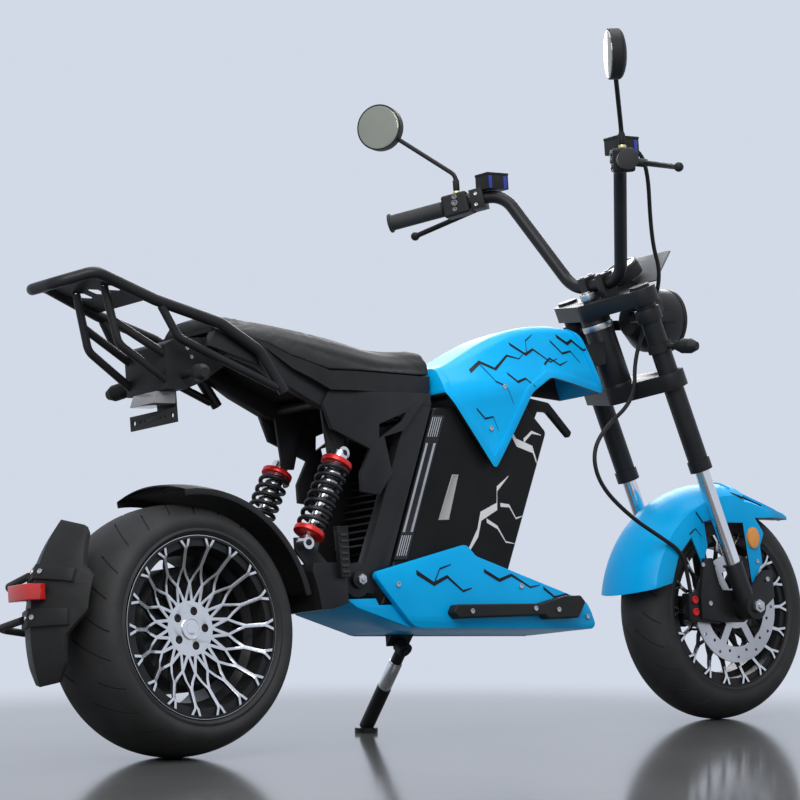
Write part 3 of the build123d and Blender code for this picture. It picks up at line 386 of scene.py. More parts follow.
SLOTS = {part["node"]: part["material_slot"] for part in frame["record"]["subparts"]}
BODIES = {node: body for body, names in frame["record"]["behaviour"]["bodies"].items() for node in names}
SLOTS["belly_tray"] = "blue_paint"  # the tray is painted like the panels over it
for finish, names in DRESS.items():
    for name in names:
        nodes[name].material_slots[0].material = finish

# Edge rounding of moulded and machined pieces, in millimetres
EDGES = {
    "tank_cover": 2.2, "belly_panels": 2.5, "front_fender": 1.2, "rear_hugger": 1.4, "rear_mudguard": 1.2,
    "swingarm": 3.0, "seat_subframe": 1.6, "main_frame": 2.0, "upper_clamp": 2.5, "steering_stem": 2.2,
    "tail_housing": 2.5, "brake_levers": 1.6, "headlight_bucket": 4.0, "fork_feet": 1.6,
    "front_caliper": 3.0, "rear_caliper": 3.0, "tail_lamp": 2.0, "rear_reflector": 2.0, "visor": 0.8,
    "belly_tray": 2.0, "fender_brackets": 1.0, "headlight_bracket": 1.0, "controller_heat_sink": 0.8,
    "grips": 1.5, "shock_collars": 1.2, "battery_latch": 2.0, "instrument_pod": 2.0, "pivot_bolt": 1.2,
    "headlight_lens": 2.0,
}
EDGE_ANGLE = 32.0


def soften(node, width):
    """Stand a copy with rounded edges in a CAD node's place."""
    piece = from_solid(node, node + "_eased")
    eased(piece, width / 1000, 2, EDGE_ANGLE)
    bpy.ops.object.shade_smooth_by_angle(angle=math.radians(EDGE_ANGLE))
    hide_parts(node)
    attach(piece, BODIES[node])
    return piece


eased_pieces = {node: soften(node, width) for node, width in EDGES.items()}


def unpainted_inside(piece, inside):
    """Leave the faces on the hollow side of a painted cover in bare black."""
    piece.data.materials.append(moulded_black)
    edit(piece)
    pick(piece, inside)
    piece.active_material_index = 1
    bpy.ops.object.material_slot_assign()
    bpy.ops.object.mode_set(mode="OBJECT")


def under_tank(middle, normal):
    """Faces that look down, or in towards the scooter's middle plane."""
    place = parked().inverted() @ middle
    turned = parked().to_3x3().inverted() @ normal
    turned.normalize()
    return turned.z < -0.35 or turned.y * place.y < -1.0


def under_fender(middle, normal):
    """Faces that look towards the wheel."""
    return normal.dot(steered() @ FRONT_AXLE - middle) > 0.02


unpainted_inside(eased_pieces["tank_cover"], under_tank)
unpainted_inside(eased_pieces["front_fender"], under_fender)


# Bolts and small round pieces


def button_bolt(name):
    """Domed bolt head with a socket, ten millimetres across, standing on its base."""
    return eased(stepped(drum(name, 5.0, 3.4, 24), (2.1, -1.8)), 0.8, 2, 50)


def hex_nut(name):
    """Chamfered nut with a stud end, twenty millimetres over its corners."""
    return eased(stepped(drum(name, 10.0, 8.0, 6), (4.2, 2.6)), 0.9, 2, 50)


def row_of(model, name, spots, place, body, finish, slot):
    """Copies of one small piece at (place, direction, scale) spots, joined."""
    copies = []
    for number, (spot, direction, size) in enumerate(spots):
        copy = twin(model, f"{name}_{number}")
        copies.append(settle(copy, place @ facing(spot, direction) @ Matrix.Scale(size, 4)))
    return fit(gathered(copies, name), Matrix.Identity(4), body, finish, slot)


bolt = button_bolt("bolt")
nut = hex_nut("nut")
ON_CHASSIS = (parked(), "chassis")
ON_STEERING = (steered(), "steering")
STEEL = (brushed_steel, "steel")
FRONT = (WHEELBASE, AXLE_HEIGHT)
REAR = (0, AXLE_HEIGHT)

# Spots in the side view as (x, z), with the distance from the middle plane and the size against the model
PANEL_BOLTS = [((798, 706), 108.6, 1.0), ((749, 619), 111.5, 1.0), ((470, 306), 111.6, 1.1),
               ((798, 296), 111.6, 1.1), ((980, 229), 110.6, 1.0)]
TAIL_BOLTS = [((28, 768), 65.6, 0.8), ((37, 752), 65.6, 0.8), ((99, 748), 65.6, 0.9)]
PAD_BOLTS = [((813, 248), 133.7, 1.1), ((877, 244), 133.7, 1.1), ((640, 247), 133.7, 1.1)]
PIVOT_NUTS = [((381, 318), 105.8, 1.1)]
# The same, from the axles
FENDER_BOLTS = [((-110, 96), 98.0, 1.0), ((-96, 12), 98.0, 1.1), ((78, 60), 98.0, 1.1),
                ((60, 100), 90.0, 0.9)]
CALIPER_CAPS = [((-134, 21), 89.6, 1.7), ((-134, -5), 89.6, 1.7)]
FRONT_AXLE_NUTS = [((0, 0), 142, 1.5)]
REAR_AXLE_NUT = [((0, 0), 157, 1.9)]
# Place and direction on the left stay
HUGGER_BOLTS = [(Vector((-297.2, 12.4, 354.4)), Vector((-0.85, 0.408, 0.335))),
                (Vector((-318.5, 9.7, 271.6)), Vector((-0.908, 0.409, 0.095)))]
# Heights up the steering axis from the head
STEM_TOP = 104
RISER_TOP = 150.3


def side_spots(table, sides=(-1, 1), origin=(0, 0)):
    return [((origin[0] + x, side * y, origin[1] + z), (0, side, 0), size)
            for (x, z), y, size in table for side in sides]


def on_side(place, side):
    return Vector((place.x, side * place.y, place.z))


row_of(bolt, "panel_bolts", side_spots(PANEL_BOLTS), *ON_CHASSIS, *STEEL)
row_of(bolt, "tail_bolts", side_spots(TAIL_BOLTS), *ON_CHASSIS, *STEEL)
hugger_spots = [(on_side(spot, side), on_side(way, side), 1.0)
                for spot, way in HUGGER_BOLTS for side in (-1, 1)]
row_of(bolt, "hugger_bolts", hugger_spots, *ON_CHASSIS, *STEEL)
row_of(bolt, "pad_bolts", side_spots(PAD_BOLTS), *ON_CHASSIS, *STEEL)
row_of(bolt, "fender_bolts", side_spots(FENDER_BOLTS, origin=FRONT), *ON_STEERING, *STEEL)
row_of(bolt, "caliper_caps", side_spots(CALIPER_CAPS, (-1,), FRONT), *ON_STEERING,
       red_anodised, "red_anodised")
row_of(nut, "front_axle_nuts", side_spots(FRONT_AXLE_NUTS, origin=FRONT), *ON_STEERING, *STEEL)
row_of(nut, "rear_axle_nut", side_spots(REAR_AXLE_NUT, (1,), REAR), *ON_CHASSIS, *STEEL)
row_of(nut, "pivot_nuts", side_spots(PIVOT_NUTS), *ON_CHASSIS, *STEEL)
row_of(nut, "stem_nut", [(HEAD + FORK_UP * STEM_TOP, FORK_UP, 1.8)], *ON_STEERING, *STEEL)
riser_spots = [(HEAD + FORK_UP * RISER_TOP + FORK_AHEAD * ahead + Vector((0, side * 28, 0)), FORK_UP, 0.9)
               for ahead in (25.5, 50) for side in (-1, 1)]
row_of(bolt, "riser_bolts", riser_spots, *ON_STEERING, *STEEL)


# Wheels

TREAD_STEPS = 168  # faces round a tyre
GROOVE_PITCH = 7  # faces from one groove to the next
GROOVE_WIDTH, GROOVE_DEPTH = 1.7, 3.0
GROOVE_SLANT = math.radians(34)
LONG_GROOVE, SHORT_GROOVE = (0.1, 0.86), (0.46, 0.93)  # shares of a tyre's half width
MACHINED_TO = 0.167  # radius where the spokes' bright faces end, in metres
LIP_RADIUS = 170.6
LUG_COUNT, LUG_CIRCLE, LUG_PLANE = 5, 34, -52.5


def tyre(node, body, place, centre, core, thick, half, phase):
    """Fat tyre with sparse slanted grooves: a ring round its core, as thick and half as wide as given."""
    deselect()
    bpy.ops.mesh.primitive_torus_add(major_segments=TREAD_STEPS, minor_segments=48, major_radius=core,
                                     minor_radius=thick, rotation=(math.pi / 2, 0, 0))
    piece = bpy.context.object
    piece.name = node + "_tread"
    bpy.ops.object.transform_apply(location=True, rotation=True, scale=True)
    edit(piece)
    bpy.ops.mesh.select_all(action="SELECT")
    bpy.ops.transform.resize(value=(1, half / thick, 1), center_override=(0, 0, 0))
    pick(piece, lambda middle, normal: math.hypot(middle.x, middle.z) < core - thick * 0.42)
    bpy.ops.transform.resize(value=(1, 1.07, 1), center_override=(0, 0, 0))
    bpy.ops.mesh.select_mode(type="EDGE")
    bpy.ops.mesh.select_all(action="DESELECT")
    mesh = bmesh.from_edit_mesh(piece.data)
    for edge in mesh.edges:
        one, other = (vertex.co for vertex in edge.verts)
        middle, run = (one + other) / 2, other - one
        rise = abs(math.hypot(*one.xz) - math.hypot(*other.xz))
        across = abs(run.y) > 0.35 * run.length or rise > 1
        outer = math.hypot(middle.x, middle.z) > core + thick * 0.18
        turn = round(math.degrees(math.atan2(middle.z, middle.x)) * TREAD_STEPS / 360 + TREAD_STEPS)
        side = 0 if middle.y < 0 else 1
        low, high = LONG_GROOVE if (turn // GROOVE_PITCH) % 2 == side else SHORT_GROOVE
        grooved = (turn + 3 * side) % GROOVE_PITCH == phase and low * half < abs(middle.y) < high * half
        edge.select = across and outer and grooved
    bmesh.update_edit_mesh(piece.data)
    bpy.ops.mesh.bevel(offset=GROOVE_WIDTH, segments=1, affect="EDGES")
    bpy.ops.mesh.select_mode(type="FACE")
    pull(-GROOVE_DEPTH)
    bpy.ops.object.mode_set(mode="OBJECT")
    twist = piece.modifiers.new("slant", "SIMPLE_DEFORM")
    twist.deform_method = "TWIST"
    twist.deform_axis = "Y"
    twist.angle = GROOVE_SLANT
    take(piece)
    bpy.ops.object.modifier_apply(modifier="slant")
    fit(piece, place @ Matrix.Translation(centre), body, tyre_black, "tyre_rubber", 40)
    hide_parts(node)


tyre("rear_tyre", "rear_wheel", parked(), REAR_AXLE, core=196.0, thick=42.0, half=104.0, phase=0)
tyre("front_tyre", "front_wheel", steered(), FRONT_AXLE, core=193.5, thick=45.3, half=66.0, phase=3)


def mesh_spokes(node, body, place, centre, bright_from):
    """Spokes with bright machined faces and dark flanks."""
    piece = from_solid(node, node + "_machined", 0)
    piece.data.materials.clear()
    piece.data.materials.append(satin_black)
    piece.data.materials.append(machined_alloy)
    outward = (place.to_3x3() @ Vector(RIGHT)).normalized()
    hub = place @ centre
    edit(piece)

    def bright(middle, normal):
        arm = middle - hub
        reach = (arm - outward * arm.dot(outward)).length
        return normal.dot(outward) > 0.45 and bright_from < reach < MACHINED_TO

    pick(piece, bright)
    piece.active_material_index = 1
    bpy.ops.object.material_slot_assign()
    bpy.ops.mesh.select_all(action="SELECT")
    bpy.ops.mesh.dissolve_limited(angle_limit=math.radians(0.5), delimit={"MATERIAL"})
    bpy.ops.object.mode_set(mode="OBJECT")
    eased(piece, 0.0007, 2, 40)
    bpy.ops.object.shade_smooth_by_angle(angle=math.radians(35))
    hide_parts(node)
    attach(piece, body)


def rim_lip(name, body, place, centre, plane):
    """Thin bright line round the rim's edge."""
    piece = open_ring(name, LIP_RADIUS, depth=3.0, thickness=1.6, sides=128, rounding=0.5, segments=2)
    fit(piece, place @ facing(centre + Vector((0, plane, 0)), RIGHT), body, machined_alloy, "machined_alloy")


def hub_cap(name, body, place, centre, plane, radius):
    """Dished cap on the hub's face."""
    piece = stepped(drum(name, radius, 5.0, 48), (radius * 0.16, -1.2), (radius * 0.3, 0.8))
    eased(piece, 0.7, 2, 40)
    fit(piece, place @ facing(centre + Vector((0, plane, 0)), RIGHT), body, chrome, "chrome_tube")


mesh_spokes("rear_wheel_spokes", "rear_wheel", parked(), REAR_AXLE, bright_from=0.0)
mesh_spokes("front_wheel_spokes", "front_wheel", steered(), FRONT_AXLE, bright_from=0.128)
rim_lip("rear_rim_lip", "rear_wheel", parked(), REAR_AXLE, plane=-95.0)
rim_lip("front_rim_lip", "front_wheel", steered(), FRONT_AXLE, plane=-59.0)
hub_cap("rear_hub_cap", "rear_wheel", parked(), REAR_AXLE, plane=-56.8, radius=21.0)
lug_spots = []
for lug in range(LUG_COUNT):
    turn = math.radians(360 / LUG_COUNT * lug)
    arm = Vector((LUG_CIRCLE * math.cos(turn), LUG_PLANE, -LUG_CIRCLE * math.sin(turn)))
    lug_spots.append((REAR_AXLE + arm, RIGHT, 1.35))
row_of(bolt, "lug_bolts", lug_spots, parked(), "rear_wheel", black_alloy, "black_alloy")


# Seat

PAD_START = (0.988, 0.965, 0.95)  # shares of the solid's size, before the pad swells
PAD_VOXEL = 0.0055
PAD_PRESSURE = 4.0
PAD_FRAMES = 20
PAD_SWELL = 0.006  # the farthest that a point may move, in metres


def seat_pad():
    """Cushion blown up a little under its hide."""
    piece = from_solid("seat_cushion", "seat_pad")
    edit(piece)
    bpy.ops.mesh.select_all(action="SELECT")
    middle = sum((Vector(corner) for corner in piece.bound_box), Vector()) / 8
    bpy.ops.transform.resize(value=PAD_START, center_override=middle)
    bpy.ops.object.mode_set(mode="OBJECT")
    piece.data.remesh_voxel_size = PAD_VOXEL
    bpy.ops.object.voxel_remesh()
    rest = [vertex.co.copy() for vertex in piece.data.vertices]
    hold = piece.vertex_groups.new(name="hold")
    hold.add([v.index for v in piece.data.vertices if v.normal.z < -0.5], 1.0, "REPLACE")
    cloth = piece.modifiers.new("hide", "CLOTH")
    cloth.settings.quality = 6
    cloth.settings.mass = 0.4
    cloth.settings.use_pressure = True
    cloth.settings.uniform_pressure_force = PAD_PRESSURE
    cloth.settings.effector_weights.gravity = 0.0
    cloth.settings.vertex_group_mass = "hold"
    cloth.point_cache.frame_start = 1
    cloth.point_cache.frame_end = PAD_FRAMES
    for number in range(1, PAD_FRAMES + 1):
        bpy.context.scene.frame_set(number)
    swollen = piece.evaluated_get(bpy.context.evaluated_depsgraph_get()).data
    places = [vertex.co.copy() for vertex in swollen.vertices]
    piece.modifiers.remove(cloth)
    bpy.context.scene.frame_set(1)
    for vertex, start, end in zip(piece.data.vertices, rest, places):
        step = end - start
        vertex.co = start + step * min(1.0, PAD_SWELL / max(step.length, 1e-9))
    take(piece)
    finer = piece.modifiers.new("finer", "SUBSURF")
    finer.levels = 1
    finer.render_levels = 1
    bpy.ops.object.modifier_apply(modifier="finer")
    bpy.ops.object.shade_smooth()
    piece.data.materials.clear()
    piece.data.materials.append(seat_hide)
    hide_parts("seat_cushion")
    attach(piece, "chassis")


seat_pad()


# Battery, pegs and trim

# Plates on the sides, as their low and high ends: (back x, front x, z)
RAIL = ((478, 512, 356), (605, 640, 646))
RAIL_RIB = ((484, 486.6, 363), (502, 504.6, 404))
RAIL_STRIP = ((504.5, 510.5, 410), (583, 589, 589))
BATTERY_SLOT = ((604, 632, 434), (650, 667, 526))
PEG = ((320, 342, 322), (316, 343, 421))
BATTERY_PLANE = 93.2
RAIL_PLANE = 95.6
PEG_PLANE = {-1: 112.4, 1: 150.4}
PEG_THICK = 12.5
RIB_COUNT, RIB_PITCH = 5, 5.6
RIB_ENDS = (104.5, 238.5)  # from the low group of ribs to the high one, in x and z
STRIP_PITCH = 20.5
TREAD_SIZE, TREAD_PLACE = (17, 3.4, 5), (330.5, 12.6, 332)
TREAD_COUNT, TREAD_PITCH = 7, 12
REFLECTOR = Vector((50, 89.6, 152))  # from the front axle
OVAL = 1.38  # height against width


def slanted(name, ends, plane, thick, side):
    """Flat plate on a side plane, between its low and its high end."""
    (x0, x1, z0), (x2, x3, z1) = ends
    centre = ((x0 + x1) / 2, side * (plane + thick / 2), (z0 + z1) / 2)
    piece = block(name, (x1 - x0, thick, z1 - z0), centre)
    edit(piece)
    pick(piece, upward)
    bpy.ops.transform.translate(value=((x2 + x3 - x0 - x1) / 2, 0, 0))
    narrowed = (x3 - x2) / (x1 - x0)
    bpy.ops.transform.resize(value=(narrowed, 1, 1), center_override=((x2 + x3) / 2, side * plane, z1))
    return piece


def sink(piece, side, margin, depth):
    """Frame a plate's outer face and push the field back."""
    return stepped(piece, (margin, -depth), wanted=lambda middle, normal: normal.y * side > 0.9)


def battery_side(side, word):
    """Rail with its ribs and strips, and the pale slot beside it."""
    rail = sink(slanted(f"battery_rail_{word}", RAIL, BATTERY_PLANE, 4.2, side), side, 4.5, 1.4)
    fit(eased(rail, 0.8), *ON_CHASSIS, black_alloy, "black_alloy")
    rib = eased(slanted(f"rail_rib_{word}", RAIL_RIB, RAIL_PLANE, 2.4, side), 0.7)
    strip = eased(slanted(f"rail_strip_{word}", RAIL_STRIP, RAIL_PLANE, 2.8, side), 0.8)
    shifts = []
    for step in range(1, 2 * RIB_COUNT):
        end, across = divmod(step, RIB_COUNT)
        shifts.append((RIB_ENDS[0] * end + RIB_PITCH * across, 0, RIB_ENDS[1] * end))
    ribs = repeated(rib, shifts) + repeated(strip, [(STRIP_PITCH, 0, 0)])
    fit(gathered(ribs, f"rail_ribs_{word}"), *ON_CHASSIS, *STEEL)
    pale = sink(slanted(f"battery_slot_{word}", BATTERY_SLOT, BATTERY_PLANE, 1.6, side), side, 3.0, 1.0)
    fit(eased(pale, 0.5), *ON_CHASSIS, pale_grey, "smoke_plastic")


def passenger_peg(side, word):
    """Folded peg with rubber treads."""
    plane = PEG_PLANE[side]
    peg = sink(slanted(f"peg_{word}", PEG, plane, PEG_THICK, side), side, 3.0, 1.5)
    fit(eased(peg, 2.0), *ON_CHASSIS, satin_black, "black_frame")
    x, y, z = TREAD_PLACE
    tread = eased(block(f"peg_tread_{word}", TREAD_SIZE, (x, side * (plane + y), z)), 1.2)
    treads = repeated(tread, [(0, 0, TREAD_PITCH * step) for step in range(1, TREAD_COUNT)])
    fit(gathered(treads, f"peg_treads_{word}"), *ON_CHASSIS, grip_black, "grip_rubber")


def reflector_oval():
    """Oval lens with a raised field."""
    piece = drum("reflector_oval", 17.0, 6.0, 40)
    edit(piece)
    bpy.ops.mesh.select_all(action="SELECT")
    bpy.ops.transform.resize(value=(1, OVAL, 1), center_override=(0, 0, 0))
    return eased(stepped(piece, (2.4, 1.0)), 1.0, 2, 40)


oval = reflector_oval()
for side, word in SIDES:
    battery_side(side, word)
    passenger_peg(side, word)
    spot = facing(FRONT_AXLE + on_side(REFLECTOR, side), (0, side, 0))
    fit(twin(oval, f"side_reflector_{word}"), steered() @ spot, "steering", amber_lens, "red_lens")


# Bars, mirrors, dial and lamps

GRIP_TIP = HEAD + Vector((-257.5, 408, 322.5))
BAR_TOP = HEAD + Vector((-96.5, 200, 364.5))
MIRROR = HEAD + Vector((-281.5, 396, 538.5))
BAR_IN = (BAR_TOP - GRIP_TIP).normalized()
SWITCH_POD = GRIP_TIP + BAR_IN * 161
FLUID_CUP = GRIP_TIP + BAR_IN * 212 + Vector((22, -22, 34))
LEVER_CLAMP = HEAD + Vector((-147.7, 230.6, 354))
# Directions on the left: out of the mirror's glass, the pod's buttons and the clamp's bolts
GLASS_LOOK = Vector((-0.85, -0.52, 0)).normalized()
POD_LOOK = Vector((-0.78, -0.60, 0.12)).normalized()
CLAMP_LOOK = Vector((-0.791, -0.612, 0))
DOME_BACK = 19.8  # from the glass to the flat of the dome behind it
POD_FACE = 22.8  # from the bar to the pod's face
SWITCHES = [(13, 1.2), (-1, 1.5), (-15, 1.1)]  # height and size
CLAMP_BOLTS = (-12.2, 12.2)
STEM_FOOT = Vector((0, 0, 25.2))
CUP_LID = Vector((0, 0, 18))
LAMP_FACE = HEAD + Vector((181, 0, 58.5))
BEAM_FACE = HEAD + Vector((185.2, 0, 58.5))
DIAL_FACE = HEAD + Vector((57.5, 0, 174.5))
DIAL_LOOK = (-0.55, 0, 0.835)
AHEAD = (1, 0, 0)


def glass_disc():
    return eased(stepped(drum("glass_disc", 48.5, 1.4, 64), (2.0, 0.5)), 0.3, 2, 40)


def mirror_dome():
    """Shallow dome behind the glass, flat side down."""
    deselect()
    bpy.ops.mesh.primitive_uv_sphere_add(segments=48, ring_count=24, radius=52.0)
    piece = bpy.context.object
    piece.name = "mirror_dome"
    edit(piece)
    bpy.ops.mesh.select_all(action="SELECT")
    bpy.ops.mesh.bisect(plane_co=(0, 0, 0), plane_no=(0, 0, 1), clear_inner=True, use_fill=True)
    bpy.ops.mesh.select_all(action="SELECT")
    bpy.ops.transform.resize(value=(1, 1, 0.3), center_override=(0, 0, 0))
    bpy.ops.mesh.normals_make_consistent(inside=False)
    bpy.ops.object.mode_set(mode="OBJECT")
    return piece


def stem_sleeve():
    return eased(stepped(drum("stem_sleeve", 7.5, 22.0, 24), (1.6, 4.0)), 0.8)


def cup_lid():
    return eased(stepped(block("cup_lid", (60, 46, 5)), (5, -1.2)), 1.4)


def cup_bands():
    """Pair of bands round the cup."""
    band = eased(block("cup_band", (9, 44.8, 28), (-22, 0, -0.5)), 0.4)
    return gathered(repeated(band, [(42, 0, 0)]), "cup_bands")


def mirror_parts(side, word):
    """Glass, domed back and the nut and sleeve under the stem."""
    look = on_side(GLASS_LOOK, side)
    centre = on_side(MIRROR, side)
    glass = twin(disc, f"mirror_glass_{word}")
    fit(glass, steered() @ facing(centre, look), "steering", mirror_glass, "chrome_tube")
    back = twin(dome, f"mirror_back_{word}")
    behind = facing(centre - look * DOME_BACK, -look)
    fit(back, steered() @ behind, "steering", moulded_black, "black_plastic")
    foot = on_side(SWITCH_POD, side) + STEM_FOOT
    row_of(nut, f"mirror_nut_{word}", [(foot, (0, 0, 1), 0.85)], *ON_STEERING, brass, "steel")
    over = steered() @ Matrix.Translation(foot + Vector((0, 0, 9)))
    fit(twin(sleeve, f"mirror_sleeve_{word}"), over, "steering", moulded_black, "black_plastic")


def lever_parts(side, word):
    """Lid and blue bands of the brake fluid cup, the pod's buttons and the clamp's bolts."""
    cup = on_side(FLUID_CUP, side)
    cover = steered() @ Matrix.Translation(cup + CUP_LID)
    fit(twin(lid, f"cup_lid_{word}"), cover, "steering", moulded_black, "black_plastic")
    round_cup = steered() @ Matrix.Translation(cup)
    fit(twin(bands, f"cup_bands_{word}"), round_cup, "steering", deep_blue, "blue_paint")
    look = on_side(POD_LOOK, side)
    face = on_side(SWITCH_POD, side) + look * POD_FACE
    switches = [(face + Vector((0, 0, lift)), look, size) for lift, size in SWITCHES]
    row_of(bolt, f"switch_buttons_{word}", switches, *ON_STEERING, smoke_grey, "smoke_plastic")
    clamp, look = on_side(LEVER_CLAMP, side), on_side(CLAMP_LOOK, side)
    clamp_spots = [(clamp + Vector((0, 0, lift)), look, 0.8) for lift in CLAMP_BOLTS]
    row_of(bolt, f"lever_clamp_bolts_{word}", clamp_spots, *ON_STEERING, *STEEL)


disc, dome, sleeve, lid, bands = glass_disc(), mirror_dome(), stem_sleeve(), cup_lid(), cup_bands()
for side, word in SIDES:
    mirror_parts(side, word)
    lever_parts(side, word)


def dial_face():
    piece = eased(stepped(drum("dial_glass", 37.5, 2.0, 64), (2.5, -1.0)), 0.5, 2, 40)
    fit(piece, steered() @ facing(DIAL_FACE, DIAL_LOOK), "steering", dial_black, "lamp_glass")


def headlight_face():
    """Black rim, and the bright ring and cap of the two beams on the lens."""
    rim = open_ring("headlight_ring", 66.0, depth=9.0, thickness=4.2, sides=96, rounding=1.6, segments=3)
    fit(rim, steered() @ facing(LAMP_FACE, AHEAD), "steering", satin_black, "black_frame")
    ring = open_ring("beam_ring", 40.0, depth=3.0, thickness=4.0, sides=96, rounding=1.0, segments=3)
    fit(ring, steered() @ facing(BEAM_FACE, AHEAD), "steering", chrome, "chrome_tube")
    cap = eased(stepped(drum("beam_cap", 21.0, 3.0, 64), (3.0, 2.0), (6.0, 1.2)), 0.8, 3, 40)
    fit(cap, steered() @ facing(BEAM_FACE, AHEAD), "steering", chrome, "chrome_tube")


def head_ring():
    """Bright collar on the head tube."""
    piece = open_ring("head_ring", 32.2, depth=13.0, thickness=1.8, sides=64, rounding=0.7, segments=2)
    fit(piece, parked() @ facing(HEAD + FORK_UP * 45, FORK_UP), "chassis", *STEEL)


def stand_sleeve():
    """Bright adjuster sleeve on the side stand's leg."""
    top, ankle = Vector((634, 80, 190)), Vector((646, 228.6, 36.7))
    along = (ankle - top).normalized()
    piece = drum("stand_sleeve", 14.0, 68.0, 40)
    stepped(piece, (1.4, 3.0), wanted=lambda middle, normal: abs(normal.z) > 0.9)
    eased(piece, 0.9, 2, 40)
    fit(piece, parked() @ facing(top + along * 40, along), "stand", machined_alloy, "machined_alloy")


dial_face()
headlight_face()
head_ring()
stand_sleeve()

# Brake hose, along the route of its solid: from the head, then from the front axle
HOSE_TOP = [(-78.1, -222, 386), (-38, -222, 386), (39.5, -130, 212.5), (79.5, -110, 147.5), (95.5, -62, 80.5),
            (31.5, -60, -26.5), (2, -86, -128), (-118, -114, -196), (-160, -122, -252), (-140, -120, -318.5)]
HOSE_LOW = [(-322, -115, 201), (-229, -101, 158), (-168, -97, 126), (-141, -81, 84), (-134.1, -80, 38.3)]
HOSE_R = 0.0045


def brake_hose():
    upper = [HEAD + Vector(point) for point in HOSE_TOP]
    lower = [FRONT_AXLE + Vector(point) for point in HOSE_LOW]
    route = [steered() @ point for point in upper + lower]
    line = bpy.data.curves.new("brake_hose_line", "CURVE")
    line.dimensions = "3D"
    line.bevel_depth = HOSE_R
    line.bevel_resolution = 4
    line.resolution_u = 10
    line.use_fill_caps = True
    spline = line.splines.new("NURBS")
    spline.points.add(len(route) - 1)
    for point, place in zip(spline.points, route):
        point.co = (*place, 1)
    spline.order_u = 3
    spline.use_endpoint_u = True
    piece = bpy.data.objects.new("brake_hose_line", line)
    bpy.context.scene.collection.objects.link(piece)
    line.materials.append(moulded_black)
    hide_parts("brake_hose")
    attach(piece, "steering")


brake_hose()


# Painted streaks, a plain pattern of broken lines

PAINT_FROM = 190  # the plane that streaks are laid on from
PANEL_DEPTHS = (30, 185)  # what lands nearer or farther out has missed its panel
FILM_LIFT, FILM_THICK = 0.0005, 0.0004


def streak(name, start, width, steps):
    """Jagged band in the side view: one edge pushed on step by step, narrowing to its end."""
    deselect()
    bpy.ops.mesh.primitive_plane_add(size=2)
    piece = bpy.context.object
    piece.name = name
    edit(piece)
    bpy.ops.mesh.select_mode(type="EDGE")
    mesh = bmesh.from_edit_mesh(piece.data)
    for edge in mesh.edges:
        edge.select = all(vertex.co.x > 0 for vertex in edge.verts)
    bmesh.update_edit_mesh(piece.data)
    bpy.ops.mesh.select_all(action="INVERT")
    bpy.ops.mesh.delete(type="EDGE_FACE")
    mesh = bmesh.from_edit_mesh(piece.data)
    kept = [vertex for vertex in mesh.verts if vertex.link_edges]
    for vertex in [vertex for vertex in mesh.verts if not vertex.link_edges]:
        mesh.verts.remove(vertex)
    for vertex, lift in zip(kept, (width / 2, -width / 2)):
        vertex.co = (start[0], 0, start[1] + lift)
        vertex.select = True
    mesh.select_flush(True)
    bmesh.update_edit_mesh(piece.data)
    place = Vector((start[0], 0, start[1]))
    for dx, dz, share in steps:
        bpy.ops.mesh.extrude_region_move(TRANSFORM_OT_translate={"value": (dx, 0, dz)})
        place += Vector((dx, 0, dz))
        bpy.ops.transform.resize(value=(share, 1, share), center_override=place)
    bpy.ops.mesh.select_all(action="SELECT")
    bpy.ops.mesh.subdivide(number_cuts=3)
    bpy.ops.object.mode_set(mode="OBJECT")
    return piece


def painted(name, table, side, target, finish, slot, place, body):
    """Streaks laid on a panel's side and given a thin body."""
    strips = []
    for number, (start, width, steps) in enumerate(table):
        strips.append(streak(f"{name}_{number}", start, width, steps))
    piece = gathered(strips, name)
    settle(piece, place @ Matrix.Translation((0, side * PAINT_FROM, 0)))
    wrap = piece.modifiers.new("wrap", "SHRINKWRAP")
    wrap.target = target
    wrap.wrap_method = "PROJECT"
    wrap.use_project_y = True
    wrap.use_positive_direction = side < 0
    wrap.use_negative_direction = side > 0
    wrap.offset = FILM_LIFT
    bpy.ops.object.modifier_apply(modifier="wrap")
    edit(piece)
    bpy.ops.mesh.select_mode(type="VERT")
    mesh = bmesh.from_edit_mesh(piece.data)
    upright = place.inverted()
    near, far = PANEL_DEPTHS
    for vertex in mesh.verts:
        vertex.select = not near < side * (upright @ vertex.co).y < far
    mesh.select_flush(False)
    bmesh.update_edit_mesh(piece.data)
    bpy.ops.mesh.delete(type="VERT")
    bpy.ops.object.mode_set(mode="OBJECT")
    film = piece.modifiers.new("film", "SOLIDIFY")
    film.thickness = FILM_THICK
    film.offset = 0
    bpy.ops.object.modifier_apply(modifier="film")
    edit(piece)
    bpy.ops.mesh.select_all(action="SELECT")
    bpy.ops.mesh.normals_make_consistent(inside=False)
    bpy.ops.object.mode_set(mode="OBJECT")
    fit(piece, Matrix.Identity(4), body, finish, slot)


